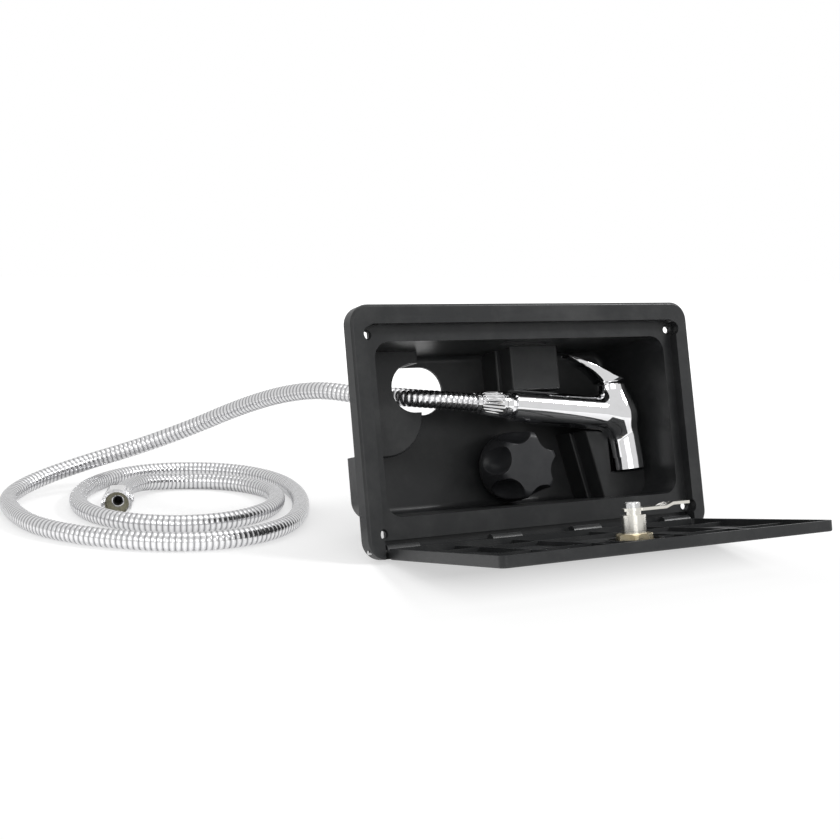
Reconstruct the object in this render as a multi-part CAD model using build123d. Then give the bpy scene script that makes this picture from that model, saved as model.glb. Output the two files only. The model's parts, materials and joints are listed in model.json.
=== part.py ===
from build123d import *
import math
import os

# Recessed exterior shower box: a moulded tray with a drop-down lid, a mixer valve behind its back
# panel, a tap-style handset and a ribbed hose. It stands on a level floor, leaning back on its valve.
# The pieces are drawn in the box's own frame: x to the right from the flange's left edge, y into the
# wall from the flange's front rim, z up from the flange's bottom edge. Millimetres throughout.

# Flange
flange_width = 296.0
flange_height = 180.0
flange_depth = 13.0
flange_corner_radius = 14.0
flange_edge_round = 2.2
rim_width = 12.0
rim_top_width = 14.0
ledge_depth = 8.0
recess_corner_radius = 6.0
rim_hollow_width = 6.0
rim_hollow_front = 3.5
rim_hollow_inset = 3.0
rim_hollow_foot = 22.0
rim_hollow_corner = 14.0

# Tray
opening_left = 20.0
opening_right = 276.0
opening_bottom = 28.5
opening_top = 154.0
opening_corner_radius = 12.0
tray_back = 82.0
tray_draft = 2.0
side_draft = 6.0
wall = 2.5
tray_back_round = 5.0
block_edge_round = 1.5
hose_hole_center = (83.3, 124.8)
hose_hole_width = 59.0
hose_hole_height = 37.6
latch_slot = (138.0, 180.0)
latch_slot_depths = (21.0, 32.0)
plateau_front = 53.0
plateau_right = 78.0
plateau_arc_radius = 32.5
plateau_bottom = 73.3
post_front = 44.0
post_step_front = 60.0
cradle_play = 0.15
post_left = 155.0
post_right = 199.0
post_bottom = 118.5
step_width = 4.0
shelf_front = 44.0
shelf_step_front = 62.0
shelf_top = 84.0
shelf_left_top = 219.0
shelf_left_bottom = 231.5
shelf_arm_right = 240.5
shelf_gap = 0.45

# Wall screws and gasket
screw_left = 14.7
screw_bottom = 17.5
screw_top = 159.0
screw_hole_diameter = 5.5
screw_sink_diameter = 7.9
screw_pit_radius = 5.5
screw_wall = 3.2
screw_room_radius = 6.5
gasket_thickness = 2.0
gasket_gap = 0.5
gasket_side_band = 12.0
gasket_low_band = 20.5
gasket_high_band = 18.0

# Hinge
hinge_y = 6.0
hinge_z = 6.0
hinge_channel_depth = 11.2
hinge_channel_top = 13.0
hinge_pin_diameter = 3.0
hinge_pin_length = 33.0
hinge_play = 0.05
knuckle_radius = 4.5
stop_gap = 0.3

# Lid
lid_width = 267.0
lid_plate = 2.5
lid_depth = 7.7
lid_start = 7.2
lid_reach = 158.0
lid_corner_radius = 5.0
lid_skirt_wall = 2.2
lid_rib_height = 3.0
lid_rib_wall = 2.0
lid_open_angle = 92.3

# Cam lock
lock_x = 148.0
lock_reach = 109.0
lock_body_radius = 8.6
lock_head_radius = 11.5
lock_head_thickness = 2.4
lock_gasket_thickness = 1.0
lock_washer_thickness = 1.0
lock_nut_flats = 24.0
lock_nut_thickness = 5.5
lock_body_end = 21.4
lock_plug_radius = 5.6
lock_turn_play = 0.05
cam_front = 24.0
cam_thickness = 2.0
cam_length = 45.0
cam_width = 15.0
cam_tip_round = 4.0
cam_joggle = 2.0
cam_joggle_start = 24.0
cam_joggle_run = 6.0
cam_screw_end = 30.0

# Mixer knob
knob_x = 160.0
knob_z = 60.0
knob_front = 36.0
knob_widest = 66.0
knob_back = 75.5
knob_tip_radius = 25.5
knob_wide_radius = 27.3
knob_back_radius = 24.0
knob_valley_radius = 20.0
knob_scoop_radius = 10.0
knob_scoop_tilt = 14.0
knob_lobes = 6
knob_first_lobe_angle = 18.0
knob_screw_y = 68.5
knob_edge_round = 2.0
grub_screw_radius = 2.0
grub_screw_length = 18.0
knob_bore_radius = 13.5
knob_bore_depth = 10.0
spindle_radius = 4.0
spindle_flat = 3.2
spindle_front = 46.0
spindle_back = 100.0
spindle_play = 0.05

# Mixer valve
valve_hole_radius = 10.8
valve_neck_radius = 10.475
valve_neck_front = 70.5
valve_nut_flats = 27.0
valve_nut_thickness = 6.0
valve_washer_thickness = 2.0
valve_washer_radius = 17.0
valve_body_radius = 18.0
valve_body_length = 35.5
inlet_y = 104.0
inlet_half_span = 52.0
inlet_thread_length = 14.0
half_inch_thread_radius = 10.48
inlet_bore_radius = 7.0
outlet_end_z = 25.3
filter_thickness = 1.5

# Handset
handset_y = 42.0
barrel_start = (150.0, 106.8)
barrel_slope = 6.55
barrel_start_radius = 12.5
barrel_end_radius = 15.3
elbow = (253.9, 95.0)
elbow_radius = 15.3
spout_tilt = 2.8
spout_length = 34.0
spout_tip_radius = 12.9
aerator_length = 10.0
aerator_ring_radius = 12.7
aerator_bore_radius = 10.5
aerator_holes = 12
aerator_recess = 1.5
column_x = 246.0
column_top = 119.2
column_top_radius = 12.0
cartridge_radius = 9.0
cartridge_height = 0.9
lever_pivot = (239.5, 124.0)
lever_reach = 35.0
lever_rise = 21.0
lever_edge_cut = 1.2
lever_tip_cut = 3.0
lever_lug_radius = 2.4
lever_lug_width = 8.0
lever_foot_room = 1.2
lever_width = 17.0
lever_tip_width = 14.0
lever_play = 0.3
lever_pin_radius = 1.2
lever_pin_play = 0.05
inlet_stub_radius = 8.2
inlet_stub_length = 11.4
waterway_radius = 5.0

# Hose
hose_radius = 7.0
hose_valley_radius = 6.35
hose_bore_radius = 4.5
hose_ribs = 190
rib_rise = 0.1
rib_crest = 0.72
cone_length = 33.2
cone_small_radius = 7.9
cone_large_radius = 10.3
cone_taper_length = 21.0
cone_washer_thickness = 2.0
cone_grooves = (4.5, 8.0, 11.5)
cone_groove_depth = 0.6
end_sleeve_radius = 8.0
end_sleeve_length = 8.0
end_neck_radius = 6.0
end_flange_radius = 9.1
end_flange_thickness = 2.0
end_nut_start = 10.0
end_nut_flats = 23.0
end_nut_length = 17.0
end_nut_rear_wall = 3.3
end_nut_bore_radius = 9.3
end_washer_thickness = 2.4
end_play = 0.05
end_seat_gap = 0.2
end_seat = end_nut_start + end_nut_rear_wall + end_seat_gap

barrel_direction = Vector(math.cos(math.radians(barrel_slope)), 0, -math.sin(math.radians(barrel_slope)))
spout_direction = Vector(math.sin(math.radians(spout_tilt)), 0, -math.cos(math.radians(spout_tilt)))
spout_drop = (spout_length + aerator_length) * math.cos(math.radians(spout_tilt))
spout_drop += aerator_ring_radius * math.sin(math.radians(spout_tilt))
shelf_low_top = elbow[1] - spout_drop - shelf_gap
hose_start = Vector(barrel_start[0], handset_y, barrel_start[1]) - barrel_direction * cone_length

# The outlet's rear rim and the flange's lower back edge both touch the floor, which sets the lean.
outlet_rear_y = inlet_y + half_inch_thread_radius
lean = math.degrees(math.atan2(outlet_end_z, outlet_rear_y - flange_depth))

bottom = (Align.CENTER, Align.CENTER, Align.MIN)


def at(y):
    """The plane across the box at depth y, whose own x and y are the box's x and z."""
    return Plane(origin=(0, y, 0), x_dir=(1, 0, 0), z_dir=(0, -1, 0))


def slab(sketch, front, back):
    """A prism of the sketch from depth front to depth back."""
    return extrude(at(back) * sketch, amount=back - front)


def span(x0, x1, z0, z1):
    return Pos((x0 + x1) / 2, (z0 + z1) / 2) * Rectangle(x1 - x0, z1 - z0)


def rounded(x0, x1, z0, z1, radius):
    return Pos((x0 + x1) / 2, (z0 + z1) / 2) * RectangleRounded(x1 - x0, z1 - z0, radius)


def outline(points):
    return make_face(Polyline(*points, close=True))


def disc(x, z, radius):
    return Pos(x, z) * Circle(radius)


def front_edges(solid, y):
    return solid.edges().filter_by_position(Axis.Y, y - 0.01, y + 0.01)


def across(x0, x1, y, z, radius):
    """A round bar along x."""
    return Plane(origin=(x0, y, z), z_dir=(1, 0, 0)) * Cylinder(radius, x1 - x0, align=bottom)


def along(origin, direction, start, end, radius, end_radius=None):
    """A round bar or cone from start to end, measured from the origin in the given direction."""
    base = Vector(*origin) + direction * start
    plane = Plane(origin=base, z_dir=direction)
    if end_radius is None:
        return plane * Cylinder(radius, end - start, align=bottom)
    return plane * Cone(radius, end_radius, end - start, align=bottom)


def in_handset(point):
    return Vector(point[0], handset_y, point[1])


def moved(place, point):
    return (place * Pos(*point)).position


# Housing: flange, tray and the raised forms on its back panel
def tapered(x0, x1, z0, z1, radius, front, back):
    """A block with the mould's draft, given at its front and narrower at its back."""
    inset = (back - front) * math.tan(math.radians(tray_draft))
    side_inset = (back - front) * math.tan(math.radians(side_draft))
    wide = at(front) * rounded(x0, x1, z0, z1, radius)
    narrow = at(back) * rounded(x0 + side_inset, x1 - side_inset, z0 + inset, z1 - inset, radius)
    return loft([wide, narrow], ruled=True)


def tray_envelope():
    block = tapered(
        opening_left - wall,
        opening_right + wall,
        opening_bottom - wall,
        opening_top + wall,
        opening_corner_radius + wall,
        flange_depth - 1,
        tray_back + wall,
    )
    return fillet(front_edges(block, tray_back + wall), tray_back_round + wall)


def tray_void():
    block = tapered(
        opening_left,
        opening_right,
        opening_bottom,
        opening_top,
        opening_corner_radius,
        ledge_depth,
        tray_back,
    )
    return fillet(front_edges(block, tray_back), tray_back_round)


def raised_form(shape, front, envelope):
    """A raised form on the back panel and the hollow behind it, both with the wall's thickness."""
    solid = slab(shape, front, tray_back + wall)
    solid = fillet(front_edges(solid, front), block_edge_round)
    hollow = slab(offset(shape, -wall, kind=Kind.INTERSECTION), front + wall, tray_back + 2 * wall)
    return solid & envelope, hollow


def plateau_shape():
    arc_x = plateau_right - plateau_arc_radius
    arc_z = plateau_bottom + plateau_arc_radius
    left = -wall
    top = flange_height + wall
    lower_side = [(arc_x, plateau_bottom), (left, plateau_bottom), (left, top)]
    edges = Polyline(*lower_side, (plateau_right, top), (plateau_right, arc_z))
    corner = CenterArc((arc_x, arc_z), plateau_arc_radius, 270, 90)
    return make_face([edges, corner])


def post_shape(left):
    return span(left, post_right, post_bottom, flange_height + wall)


def shelf_shape(shift):
    slope = (shelf_left_bottom - shelf_left_top) / (shelf_top - opening_bottom)
    foot = -wall
    foot_x = shelf_left_bottom + slope * (opening_bottom - foot)
    return outline(
        [
            (shelf_left_top - shift, shelf_top),
            (shelf_arm_right, shelf_top),
            (shelf_arm_right, shelf_low_top),
            (flange_width + wall, shelf_low_top),
            (flange_width + wall, foot),
            (foot_x - shift, foot),
        ]
    )


def hinge_pin(x0, x1):
    return across(x0, x1, hinge_y, hinge_z, hinge_pin_diameter / 2)


def barrel(clearance):
    length = (Vector(*in_handset(elbow)) - in_handset(barrel_start)).length
    start = in_handset(barrel_start)
    radii = (barrel_start_radius + clearance, barrel_end_radius + clearance)
    return along(start, barrel_direction, 0, length, *radii)


def screw_room(x, z):
    """The room behind a screw hole, clear of the tray's wall and the hinge channel."""
    floor = hinge_channel_top + 1
    beside_tray = span(0, opening_left - wall, floor, flange_height)
    beside_tray += span(opening_right + wall, flange_width, floor, flange_height)
    return disc(x, z, screw_room_radius) & beside_tray


def make_housing():
    flange = slab(rounded(0, flange_width, 0, flange_height, flange_corner_radius), 0, flange_depth)
    flange = fillet(front_edges(flange, 0), flange_edge_round)
    recess_right = flange_width - rim_width
    recess_top = flange_height - rim_top_width
    flange -= slab(rounded(rim_width, recess_right, -20, recess_top, recess_corner_radius), -5, ledge_depth)
    flange -= slab(span(rim_width, recess_right, -5, hinge_channel_top), -5, hinge_channel_depth)
    side_top = flange_height - rim_hollow_corner
    for x in (rim_hollow_inset, flange_width - rim_hollow_inset - rim_hollow_width):
        side = span(x, x + rim_hollow_width, rim_hollow_foot, side_top)
        flange -= slab(side, rim_hollow_front, flange_depth)
    hollow_top = flange_height - rim_hollow_inset
    hollow_right = flange_width - rim_hollow_corner
    top = span(rim_hollow_corner, hollow_right, hollow_top - rim_hollow_width, hollow_top)
    flange -= slab(top, rim_hollow_front, flange_depth)

    envelope = tray_envelope()
    body = flange + envelope - tray_void()
    for shape, front in (
        (plateau_shape(), plateau_front),
        (post_shape(post_left), post_front),
        (post_shape(post_left - step_width), post_step_front),
        (shelf_shape(0), shelf_front),
        (shelf_shape(step_width), shelf_step_front),
    ):
        solid, hollow = raised_form(shape, front, envelope)
        body = body + solid
        body = body - hollow
    hole = Pos(*hose_hole_center) * SlotOverall(hose_hole_width, hose_hole_height)
    body -= slab(hole, plateau_front - wall, tray_back + 2 * wall)
    body -= slab(disc(knob_x, knob_z, valve_hole_radius), tray_back - 5, tray_back + 5)
    body -= slab(span(*latch_slot, opening_top - 4, opening_top + 8), *latch_slot_depths)
    body -= barrel(cradle_play)

    for x in (screw_left, flange_width - screw_left):
        for z in (screw_bottom, screw_top):
            body -= slab(disc(x, z, screw_pit_radius), -1, ledge_depth)
            body -= slab(screw_room(x, z), ledge_depth + screw_wall, flange_depth + 1)
            body -= slab(disc(x, z, screw_hole_diameter / 2), 0, flange_depth)
            sink_depth = (screw_sink_diameter - screw_hole_diameter) / 2
            sink = Cone(screw_sink_diameter / 2, screw_hole_diameter / 2, sink_depth, align=bottom)
            body -= Plane(origin=(x, ledge_depth, z), z_dir=(0, 1, 0)) * sink
    body -= hinge_pin(-1, rim_width + 1)
    body -= hinge_pin(flange_width - rim_width - 1, flange_width + 1)
    return body


def make_wall_gasket():
    left = opening_left - wall - gasket_gap
    right = opening_right + wall + gasket_gap
    low = opening_bottom - wall - gasket_gap
    high = opening_top + wall + gasket_gap
    inner = rounded(left, right, low, high, opening_corner_radius + wall)
    outer = rounded(
        left - gasket_side_band,
        right + gasket_side_band,
        low - gasket_low_band,
        high + gasket_high_band,
        opening_corner_radius - wall,
    )
    gasket = slab(outer - inner, flange_depth, flange_depth + gasket_thickness)
    gasket_back = flange_depth + gasket_thickness
    for x in (screw_left, flange_width - screw_left):
        for z in (screw_bottom, screw_top):
            gasket -= slab(disc(x, z, screw_room_radius), flange_depth - 1, gasket_back + 1)
    return gasket


# Lid, drawn closed
lid_left = (flange_width - lid_width) / 2
lid_right = lid_left + lid_width
lid_bottom = hinge_z + lid_start
lid_top = hinge_z + lid_reach
lock_z = hinge_z + lock_reach


def lid_ribs():
    """Ribs on the lid's inner face: two lengthwise, four across and a ring round the lock."""
    ribs = []
    inner_left = lid_left + lid_skirt_wall / 2
    inner_right = lid_right - lid_skirt_wall / 2
    for z in (lid_bottom + 36, lock_z):
        ribs.append(span(inner_left, inner_right, z - lid_rib_wall / 2, z + lid_rib_wall / 2))
    for x in (lid_left + 52, lock_x - 34, lock_x + 34, lid_right - 52):
        ribs.append(span(x - lid_rib_wall / 2, x + lid_rib_wall / 2, lid_bottom + 1, lid_top - 1))
    grid = ribs[0]
    for rib in ribs[1:]:
        grid += rib
    boss = disc(lock_x, lock_z, 20)
    ring = boss - disc(lock_x, lock_z, 20 - lid_rib_wall)
    return (grid - boss) + ring


def make_lid():
    plate_shape = rounded(lid_left, lid_right, lid_bottom - 10, lid_top, lid_corner_radius)
    plate_shape = plate_shape & span(0, flange_width, lid_bottom, lid_top + 1)
    inner_shape = rounded(
        lid_left + lid_skirt_wall,
        lid_right - lid_skirt_wall,
        lid_bottom + lid_skirt_wall,
        lid_top - lid_skirt_wall,
        lid_corner_radius - lid_skirt_wall,
    )
    lid = slab(plate_shape, 0, lid_depth)
    lid = fillet(front_edges(lid, 0), 1.2)
    lid -= slab(inner_shape, lid_plate, lid_depth + 1)
    lid += slab(lid_ribs(), lid_plate - 0.5, lid_plate + lid_rib_height)
    stop_reach = hinge_channel_depth - stop_gap - hinge_y
    open_turn = Location((0, hinge_y, hinge_z)) * Location((0, 0, 0), (-lid_open_angle, 0, 0))
    end_knuckles = ((lid_left, lid_left + 25.5), (lid_right - 25.5, lid_right))
    middle_knuckles = ((lock_x - 48, lock_x - 23), (lock_x + 23, lock_x + 48))
    for x0, x1 in end_knuckles + middle_knuckles:
        knuckle = across(x0, x1, hinge_y, hinge_z, knuckle_radius)
        arm = Pos((x0 + x1) / 2, hinge_y - 2.25, (hinge_z + lid_bottom + 1.5) / 2)
        knuckle += arm * Box(x1 - x0, 4.5, lid_bottom + 1.5 - hinge_z)
        heel = Pos((x0 + x1) / 2, stop_reach / 2, -1.8) * Box(x1 - x0, stop_reach, 3.6)
        knuckle += open_turn * heel
        lid += knuckle
    pin_end = hinge_pin_length + 1.5
    radius = hinge_pin_diameter / 2 + hinge_play
    lid -= across(0, pin_end, hinge_y, hinge_z, radius)
    lid -= across(flange_width - pin_end, flange_width, hinge_y, hinge_z, radius)
    lid -= slab(disc(lock_x, lock_z, lock_body_radius + 0.2), -5, 10)
    return lid


# Cam lock, drawn with the lid closed and the cam along x
def make_lock_body():
    head_front = -lock_gasket_thickness - lock_head_thickness
    head = slab(disc(lock_x, lock_z, lock_head_radius), head_front, -lock_gasket_thickness)
    head = fillet(front_edges(head, head_front), 0.8)
    body = head + slab(disc(lock_x, lock_z, lock_body_radius), -lock_gasket_thickness, lock_body_end)
    first_groove = lid_plate + lock_washer_thickness + lock_nut_thickness + 1.0
    for turn in range(7):
        y = first_groove + 1.5 * turn
        groove = disc(lock_x, lock_z, lock_body_radius + 1) - disc(lock_x, lock_z, lock_body_radius - 0.5)
        body -= slab(groove, y, y + 0.7)
    bore = disc(lock_x, lock_z, lock_plug_radius + lock_turn_play)
    return body - slab(bore, head_front - 1, lock_body_end + 1)


def make_lock_gasket():
    ring = disc(lock_x, lock_z, lock_head_radius - 0.3) - disc(lock_x, lock_z, lock_body_radius + 0.1)
    return slab(ring, -lock_gasket_thickness, 0)


def make_lock_washer():
    ring = disc(lock_x, lock_z, 13.5) - disc(lock_x, lock_z, lock_body_radius + 0.1)
    return slab(ring, lid_plate, lid_plate + lock_washer_thickness)


def hexagon(x, z, flats):
    return Pos(x, z) * RegularPolygon(flats / 2, 6, major_radius=False)


def make_lock_nut():
    front = lid_plate + lock_washer_thickness
    back = front + lock_nut_thickness
    nut = slab(hexagon(lock_x, lock_z, lock_nut_flats), front, back)
    corner_cut = slab(disc(lock_x, lock_z, lock_nut_flats / 2 + 1.1), front, back)
    corner_cut = chamfer(front_edges(corner_cut, back), 0.8)
    return (nut & corner_cut) - slab(disc(lock_x, lock_z, lock_body_radius), front - 1, back + 1)


def make_lock_plug():
    front = -lock_gasket_thickness - lock_head_thickness + 0.3
    plug = slab(disc(lock_x, lock_z, lock_plug_radius), front, cam_front)
    plug -= slab(span(lock_x - 0.8, lock_x + 0.8, lock_z - 3.2, lock_z + 3.2), front - 1, front + 12)
    square = Pos(lock_x, lock_z) * Rectangle(7, 7)
    plug += slab(square, cam_front, cam_front + cam_thickness)
    return plug - slab(disc(lock_x, lock_z, 2.0), cam_front - 8, cam_front + cam_thickness + 1)


def make_lock_cam():
    joggle_x = lock_x + cam_joggle_start
    tip_x = lock_x + cam_length
    end_radius = cam_width / 2
    profile = [
        (lock_x - end_radius, cam_front),
        (joggle_x, cam_front),
        (joggle_x + cam_joggle_run, cam_front + cam_joggle),
        (tip_x, cam_front + cam_joggle),
        (tip_x, cam_front + cam_joggle + cam_thickness),
        (joggle_x + cam_joggle_run, cam_front + cam_joggle + cam_thickness),
        (joggle_x, cam_front + cam_thickness),
        (lock_x - end_radius, cam_front + cam_thickness),
    ]
    strip = extrude(Plane.XY.offset(lock_z - end_radius) * outline(profile), amount=cam_width)
    plan = disc(lock_x, lock_z, end_radius)
    plan += outline(
        [
            (lock_x, lock_z - end_radius),
            (tip_x, lock_z - end_radius + 2.0),
            (tip_x, lock_z + end_radius - 2.0),
            (lock_x, lock_z + end_radius),
        ]
    )
    round_tip = rounded(lock_x, tip_x, lock_z - end_radius, lock_z + end_radius, cam_tip_round)
    plan = plan & (disc(lock_x, lock_z, end_radius) + round_tip)
    cam = strip & slab(plan, cam_front - 1, cam_front + 10)
    return cam - slab(Pos(lock_x, lock_z) * Rectangle(7, 7), cam_front - 1, cam_front + 5)


def make_cam_screw():
    head_front = cam_front + cam_thickness
    screw = slab(disc(lock_x, lock_z, 5.5), head_front, cam_screw_end)
    screw = fillet(front_edges(screw, cam_screw_end), 1.0)
    screw += slab(disc(lock_x, lock_z, 2.0), cam_front - 7, head_front)
    for tilt in (0, 90):
        slot = Pos(lock_x, lock_z) * Rot(Z=tilt) * Rectangle(6, 1.2)
        screw -= slab(slot, cam_screw_end - 1.6, cam_screw_end + 1)
    return screw


# Knob and mixer valve
def knob_bar(front, back, front_radius, back_radius):
    """A round bar or cone about the knob's axis, from one depth to another."""
    plane = Plane(origin=(knob_x, front, knob_z), z_dir=(0, 1, 0))
    if front_radius == back_radius:
        return plane * Cylinder(front_radius, back - front, align=bottom)
    return plane * Cone(front_radius, back_radius, back - front, align=bottom)


def make_knob():
    """A round grip with six scoops that fade out towards its back."""
    knob = knob_bar(knob_front, knob_widest, knob_tip_radius, knob_wide_radius)
    knob += knob_bar(knob_widest, knob_back, knob_wide_radius, knob_back_radius)
    knob = fillet(front_edges(knob, knob_front), knob_edge_round)
    tilt = math.radians(knob_scoop_tilt)
    for lobe in range(knob_lobes):
        turn = math.radians(knob_first_lobe_angle + 360 / knob_lobes * (lobe + 0.5))
        outward = Vector(math.cos(turn), 0, math.sin(turn))
        center = Vector(knob_x, knob_front, knob_z) + outward * (knob_valley_radius + knob_scoop_radius)
        direction = Vector(0, math.cos(tilt), 0) + outward * math.sin(tilt)
        knob -= along(center, direction, -knob_scoop_radius, knob_back - knob_front, knob_scoop_radius)
    knob -= knob_bar(knob_back - knob_bore_depth, knob_back + 1, knob_bore_radius, knob_bore_radius)
    knob -= knob_bar(spindle_front, knob_back, spindle_radius, spindle_radius)
    screw = Plane(origin=(knob_x, knob_screw_y, knob_z), z_dir=(0, 0, 1))
    return knob - screw * Cylinder(grub_screw_radius, 2 * knob_wide_radius, align=bottom)


def make_knob_grub_screw():
    plane = Plane(origin=(knob_x, knob_screw_y, knob_z + spindle_flat), z_dir=(0, 0, 1))
    screw = plane * Cylinder(grub_screw_radius, grub_screw_length, align=bottom)
    socket = plane * Pos(0, 0, 0.8 * grub_screw_length) * extrude(RegularPolygon(1.0, 6), amount=3)
    return screw - socket


def make_valve_spindle():
    spindle = slab(disc(knob_x, knob_z, spindle_radius), spindle_front, spindle_back)
    flat = span(knob_x - 5, knob_x + 5, knob_z + spindle_flat, knob_z + 10)
    return spindle - slab(flat, spindle_front, knob_back)


def make_valve_neck():
    neck_back = tray_back + wall + valve_washer_thickness
    neck = slab(disc(knob_x, knob_z, valve_neck_radius), valve_neck_front, neck_back)
    for turn in range(3):
        y = valve_neck_front + 1.0 + 1.5 * turn
        groove = disc(knob_x, knob_z, valve_neck_radius + 1) - disc(knob_x, knob_z, valve_neck_radius - 0.5)
        neck -= slab(groove, y, y + 0.7)
    return neck - slab(disc(knob_x, knob_z, spindle_radius + spindle_play), 60, 100)


def make_valve_nut():
    front = tray_back - valve_nut_thickness
    nut = slab(hexagon(knob_x, knob_z, valve_nut_flats), front, tray_back)
    return nut - slab(disc(knob_x, knob_z, valve_neck_radius), front - 1, tray_back + 1)


def make_valve_washer():
    front = tray_back + wall
    ring = disc(knob_x, knob_z, valve_washer_radius) - disc(knob_x, knob_z, valve_neck_radius + 0.1)
    return slab(ring, front, front + valve_washer_thickness)


def make_valve_body():
    front = tray_back + wall + valve_washer_thickness
    back = front + valve_body_length
    body = slab(disc(knob_x, knob_z, valve_body_radius), front, back)
    body = fillet(front_edges(body, back), 2.0)
    center = (knob_x, inlet_y, knob_z)
    shoulder = inlet_half_span - inlet_thread_length
    outlet_length = knob_z - outlet_end_z
    for direction, length in (
        (Vector(1, 0, 0), inlet_half_span),
        (Vector(-1, 0, 0), inlet_half_span),
        (Vector(0, 0, -1), outlet_length),
    ):
        arm_end = length - inlet_thread_length
        body += along(center, direction, 0, arm_end, 12.6)
        body += along(center, direction, arm_end - 1, length, half_inch_thread_radius)
    for direction, length in (
        (Vector(1, 0, 0), inlet_half_span),
        (Vector(-1, 0, 0), inlet_half_span),
        (Vector(0, 0, -1), outlet_length),
    ):
        body -= along(center, direction, valve_body_radius - 6, length + 1, inlet_bore_radius)
    body -= slab(disc(knob_x, knob_z, spindle_radius + spindle_play), front - 1, spindle_back + 1)
    return body


def make_inlet_filter(side):
    center = (knob_x, inlet_y, knob_z)
    start = inlet_half_span - 4
    direction = Vector(side, 0, 0)
    disc_solid = along(center, direction, start, start + filter_thickness, inlet_bore_radius)
    for ring_radius, count in ((2.0, 5), (4.6, 10)):
        for index in range(count):
            angle = math.radians(360 / count * index)
            y = inlet_y + ring_radius * math.cos(angle)
            z = knob_z + ring_radius * math.sin(angle)
            disc_solid -= along((knob_x, y, z), direction, start - 1, start + 3, 0.8)
    return disc_solid


# Handset
# The lever's side view, as shares of its reach and rise from its pivot.
lever_upper = [(-1.0, 1.0), (-0.729, 0.867), (-0.443, 0.686)]
lever_upper += [(-0.117, 0.429), (0.129, 0.229), (0.357, 0.076)]
lever_lower = [(0.466, -0.005), (0.443, -0.048), (0.186, -0.138), (-0.117, -0.138), (-0.263, 0.143)]
lever_lower += [(-0.437, 0.381), (-0.683, 0.614), (-0.929, 0.857)]


def on_lever(shares):
    pivot_x, pivot_z = lever_pivot
    return [(pivot_x + right * lever_reach, pivot_z + up * lever_rise) for right, up in shares]


def handset_slab(sketch, half_width):
    return slab(sketch, handset_y - half_width, handset_y + half_width)


def make_handset_body():
    elbow_point = in_handset(elbow)
    body = barrel(0)
    body += Pos(*elbow_point) * Sphere(elbow_radius)
    body += along(elbow_point, spout_direction, 0, spout_length, elbow_radius - 0.7, spout_tip_radius)
    column = Plane(origin=(column_x, handset_y, elbow[1]), z_dir=(0, 0, 1))
    body += column * Cone(elbow_radius - 1.5, column_top_radius, column_top - elbow[1], align=bottom)
    start = in_handset(barrel_start)
    body += along(start, barrel_direction, -inlet_stub_length, 1, inlet_stub_radius)
    body -= along(start, barrel_direction, -inlet_stub_length - 1, 80, waterway_radius)
    body -= along(elbow_point, spout_direction, 12, spout_length + 1, aerator_bore_radius - 2)
    return body


def make_handset_cartridge():
    column = Plane(origin=(column_x, handset_y, column_top), z_dir=(0, 0, 1))
    base = column * Cylinder(cartridge_radius, cartridge_height, align=bottom)
    lug = handset_slab(disc(*lever_pivot, lever_lug_radius), lever_lug_width / 2)
    foot_left = lever_pivot[0] - lever_lug_radius
    foot_low = column_top + cartridge_height / 2
    foot = span(foot_left, foot_left + 2 * lever_lug_radius, foot_low, lever_pivot[1])
    lug += handset_slab(foot, lever_lug_width / 2)
    return base + lug - handset_slab(disc(*lever_pivot, lever_pin_radius), lever_width)


def make_handset_lever():
    half = lever_width / 2
    tip_half = lever_tip_width / 2
    tip_x = lever_pivot[0] - lever_reach
    rear_x = lever_pivot[0] + lever_lower[0][0] * lever_reach
    lever = handset_slab(outline(on_lever(lever_upper + lever_lower)), half)
    sides = lever.edges().filter_by(lambda edge: abs(abs(edge.center().Y - handset_y) - half) < 0.01)
    lever = chamfer(sides.filter_by(on_top), lever_edge_cut)
    plan = []
    for side in (-1, 1):
        edge = [
            (tip_x, handset_y + side * (tip_half - lever_tip_cut)),
            (tip_x + lever_tip_cut, handset_y + side * tip_half),
            (lever_pivot[0] - lever_width / 2, handset_y + side * half),
            (rear_x - 2 * lever_tip_cut, handset_y + side * half),
            (rear_x, handset_y + side * (half - lever_tip_cut)),
        ]
        plan += edge if side < 0 else edge[::-1]
    lever = lever & extrude(Plane.XY * outline(plan), amount=2 * lever_pivot[1])
    room = lever_lug_radius + lever_play
    slot = disc(*lever_pivot, room)
    slot_left = lever_pivot[0] - room - lever_foot_room
    slot_right = lever_pivot[0] + room + lever_foot_room
    slot += span(slot_left, slot_right, column_top, lever_pivot[1])
    lever -= handset_slab(slot, lever_lug_width / 2 + lever_play)
    return lever - handset_slab(disc(*lever_pivot, lever_pin_radius + lever_pin_play), lever_width)


def on_top(edge):
    """Whether an edge of the lever lies along its upper side."""
    upper = on_lever(lever_upper)
    point = edge.center()
    for (x0, z0), (x1, z1) in zip(upper, upper[1:]):
        if x0 - 0.1 <= point.X <= x1 + 0.1:
            return abs(z0 + (z1 - z0) * (point.X - x0) / (x1 - x0) - point.Z) < 0.3
    return False


def make_lever_pin():
    return handset_slab(disc(*lever_pivot, lever_pin_radius), lever_width / 2 - 0.4)


def make_aerator_ring():
    origin = in_handset(elbow)
    ring = along(origin, spout_direction, spout_length, spout_length + aerator_length, aerator_ring_radius)
    tip = along(origin, spout_direction, spout_length, spout_length + aerator_length, aerator_bore_radius)
    return ring - tip


def make_aerator_insert():
    origin = in_handset(elbow)
    insert_end = spout_length + aerator_length - aerator_recess
    insert = along(origin, spout_direction, spout_length, insert_end, aerator_bore_radius)
    tip_plane = Plane(origin=origin + spout_direction * (spout_length - 1), z_dir=spout_direction)
    for index in range(aerator_holes):
        hole = Rot(Z=360 / aerator_holes * index) * Pos(6.8, 0, 0) * Cylinder(0.9, 20, align=bottom)
        insert -= tip_plane * hole
    return insert - tip_plane * Cylinder(2.2, 20, align=bottom)


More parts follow.
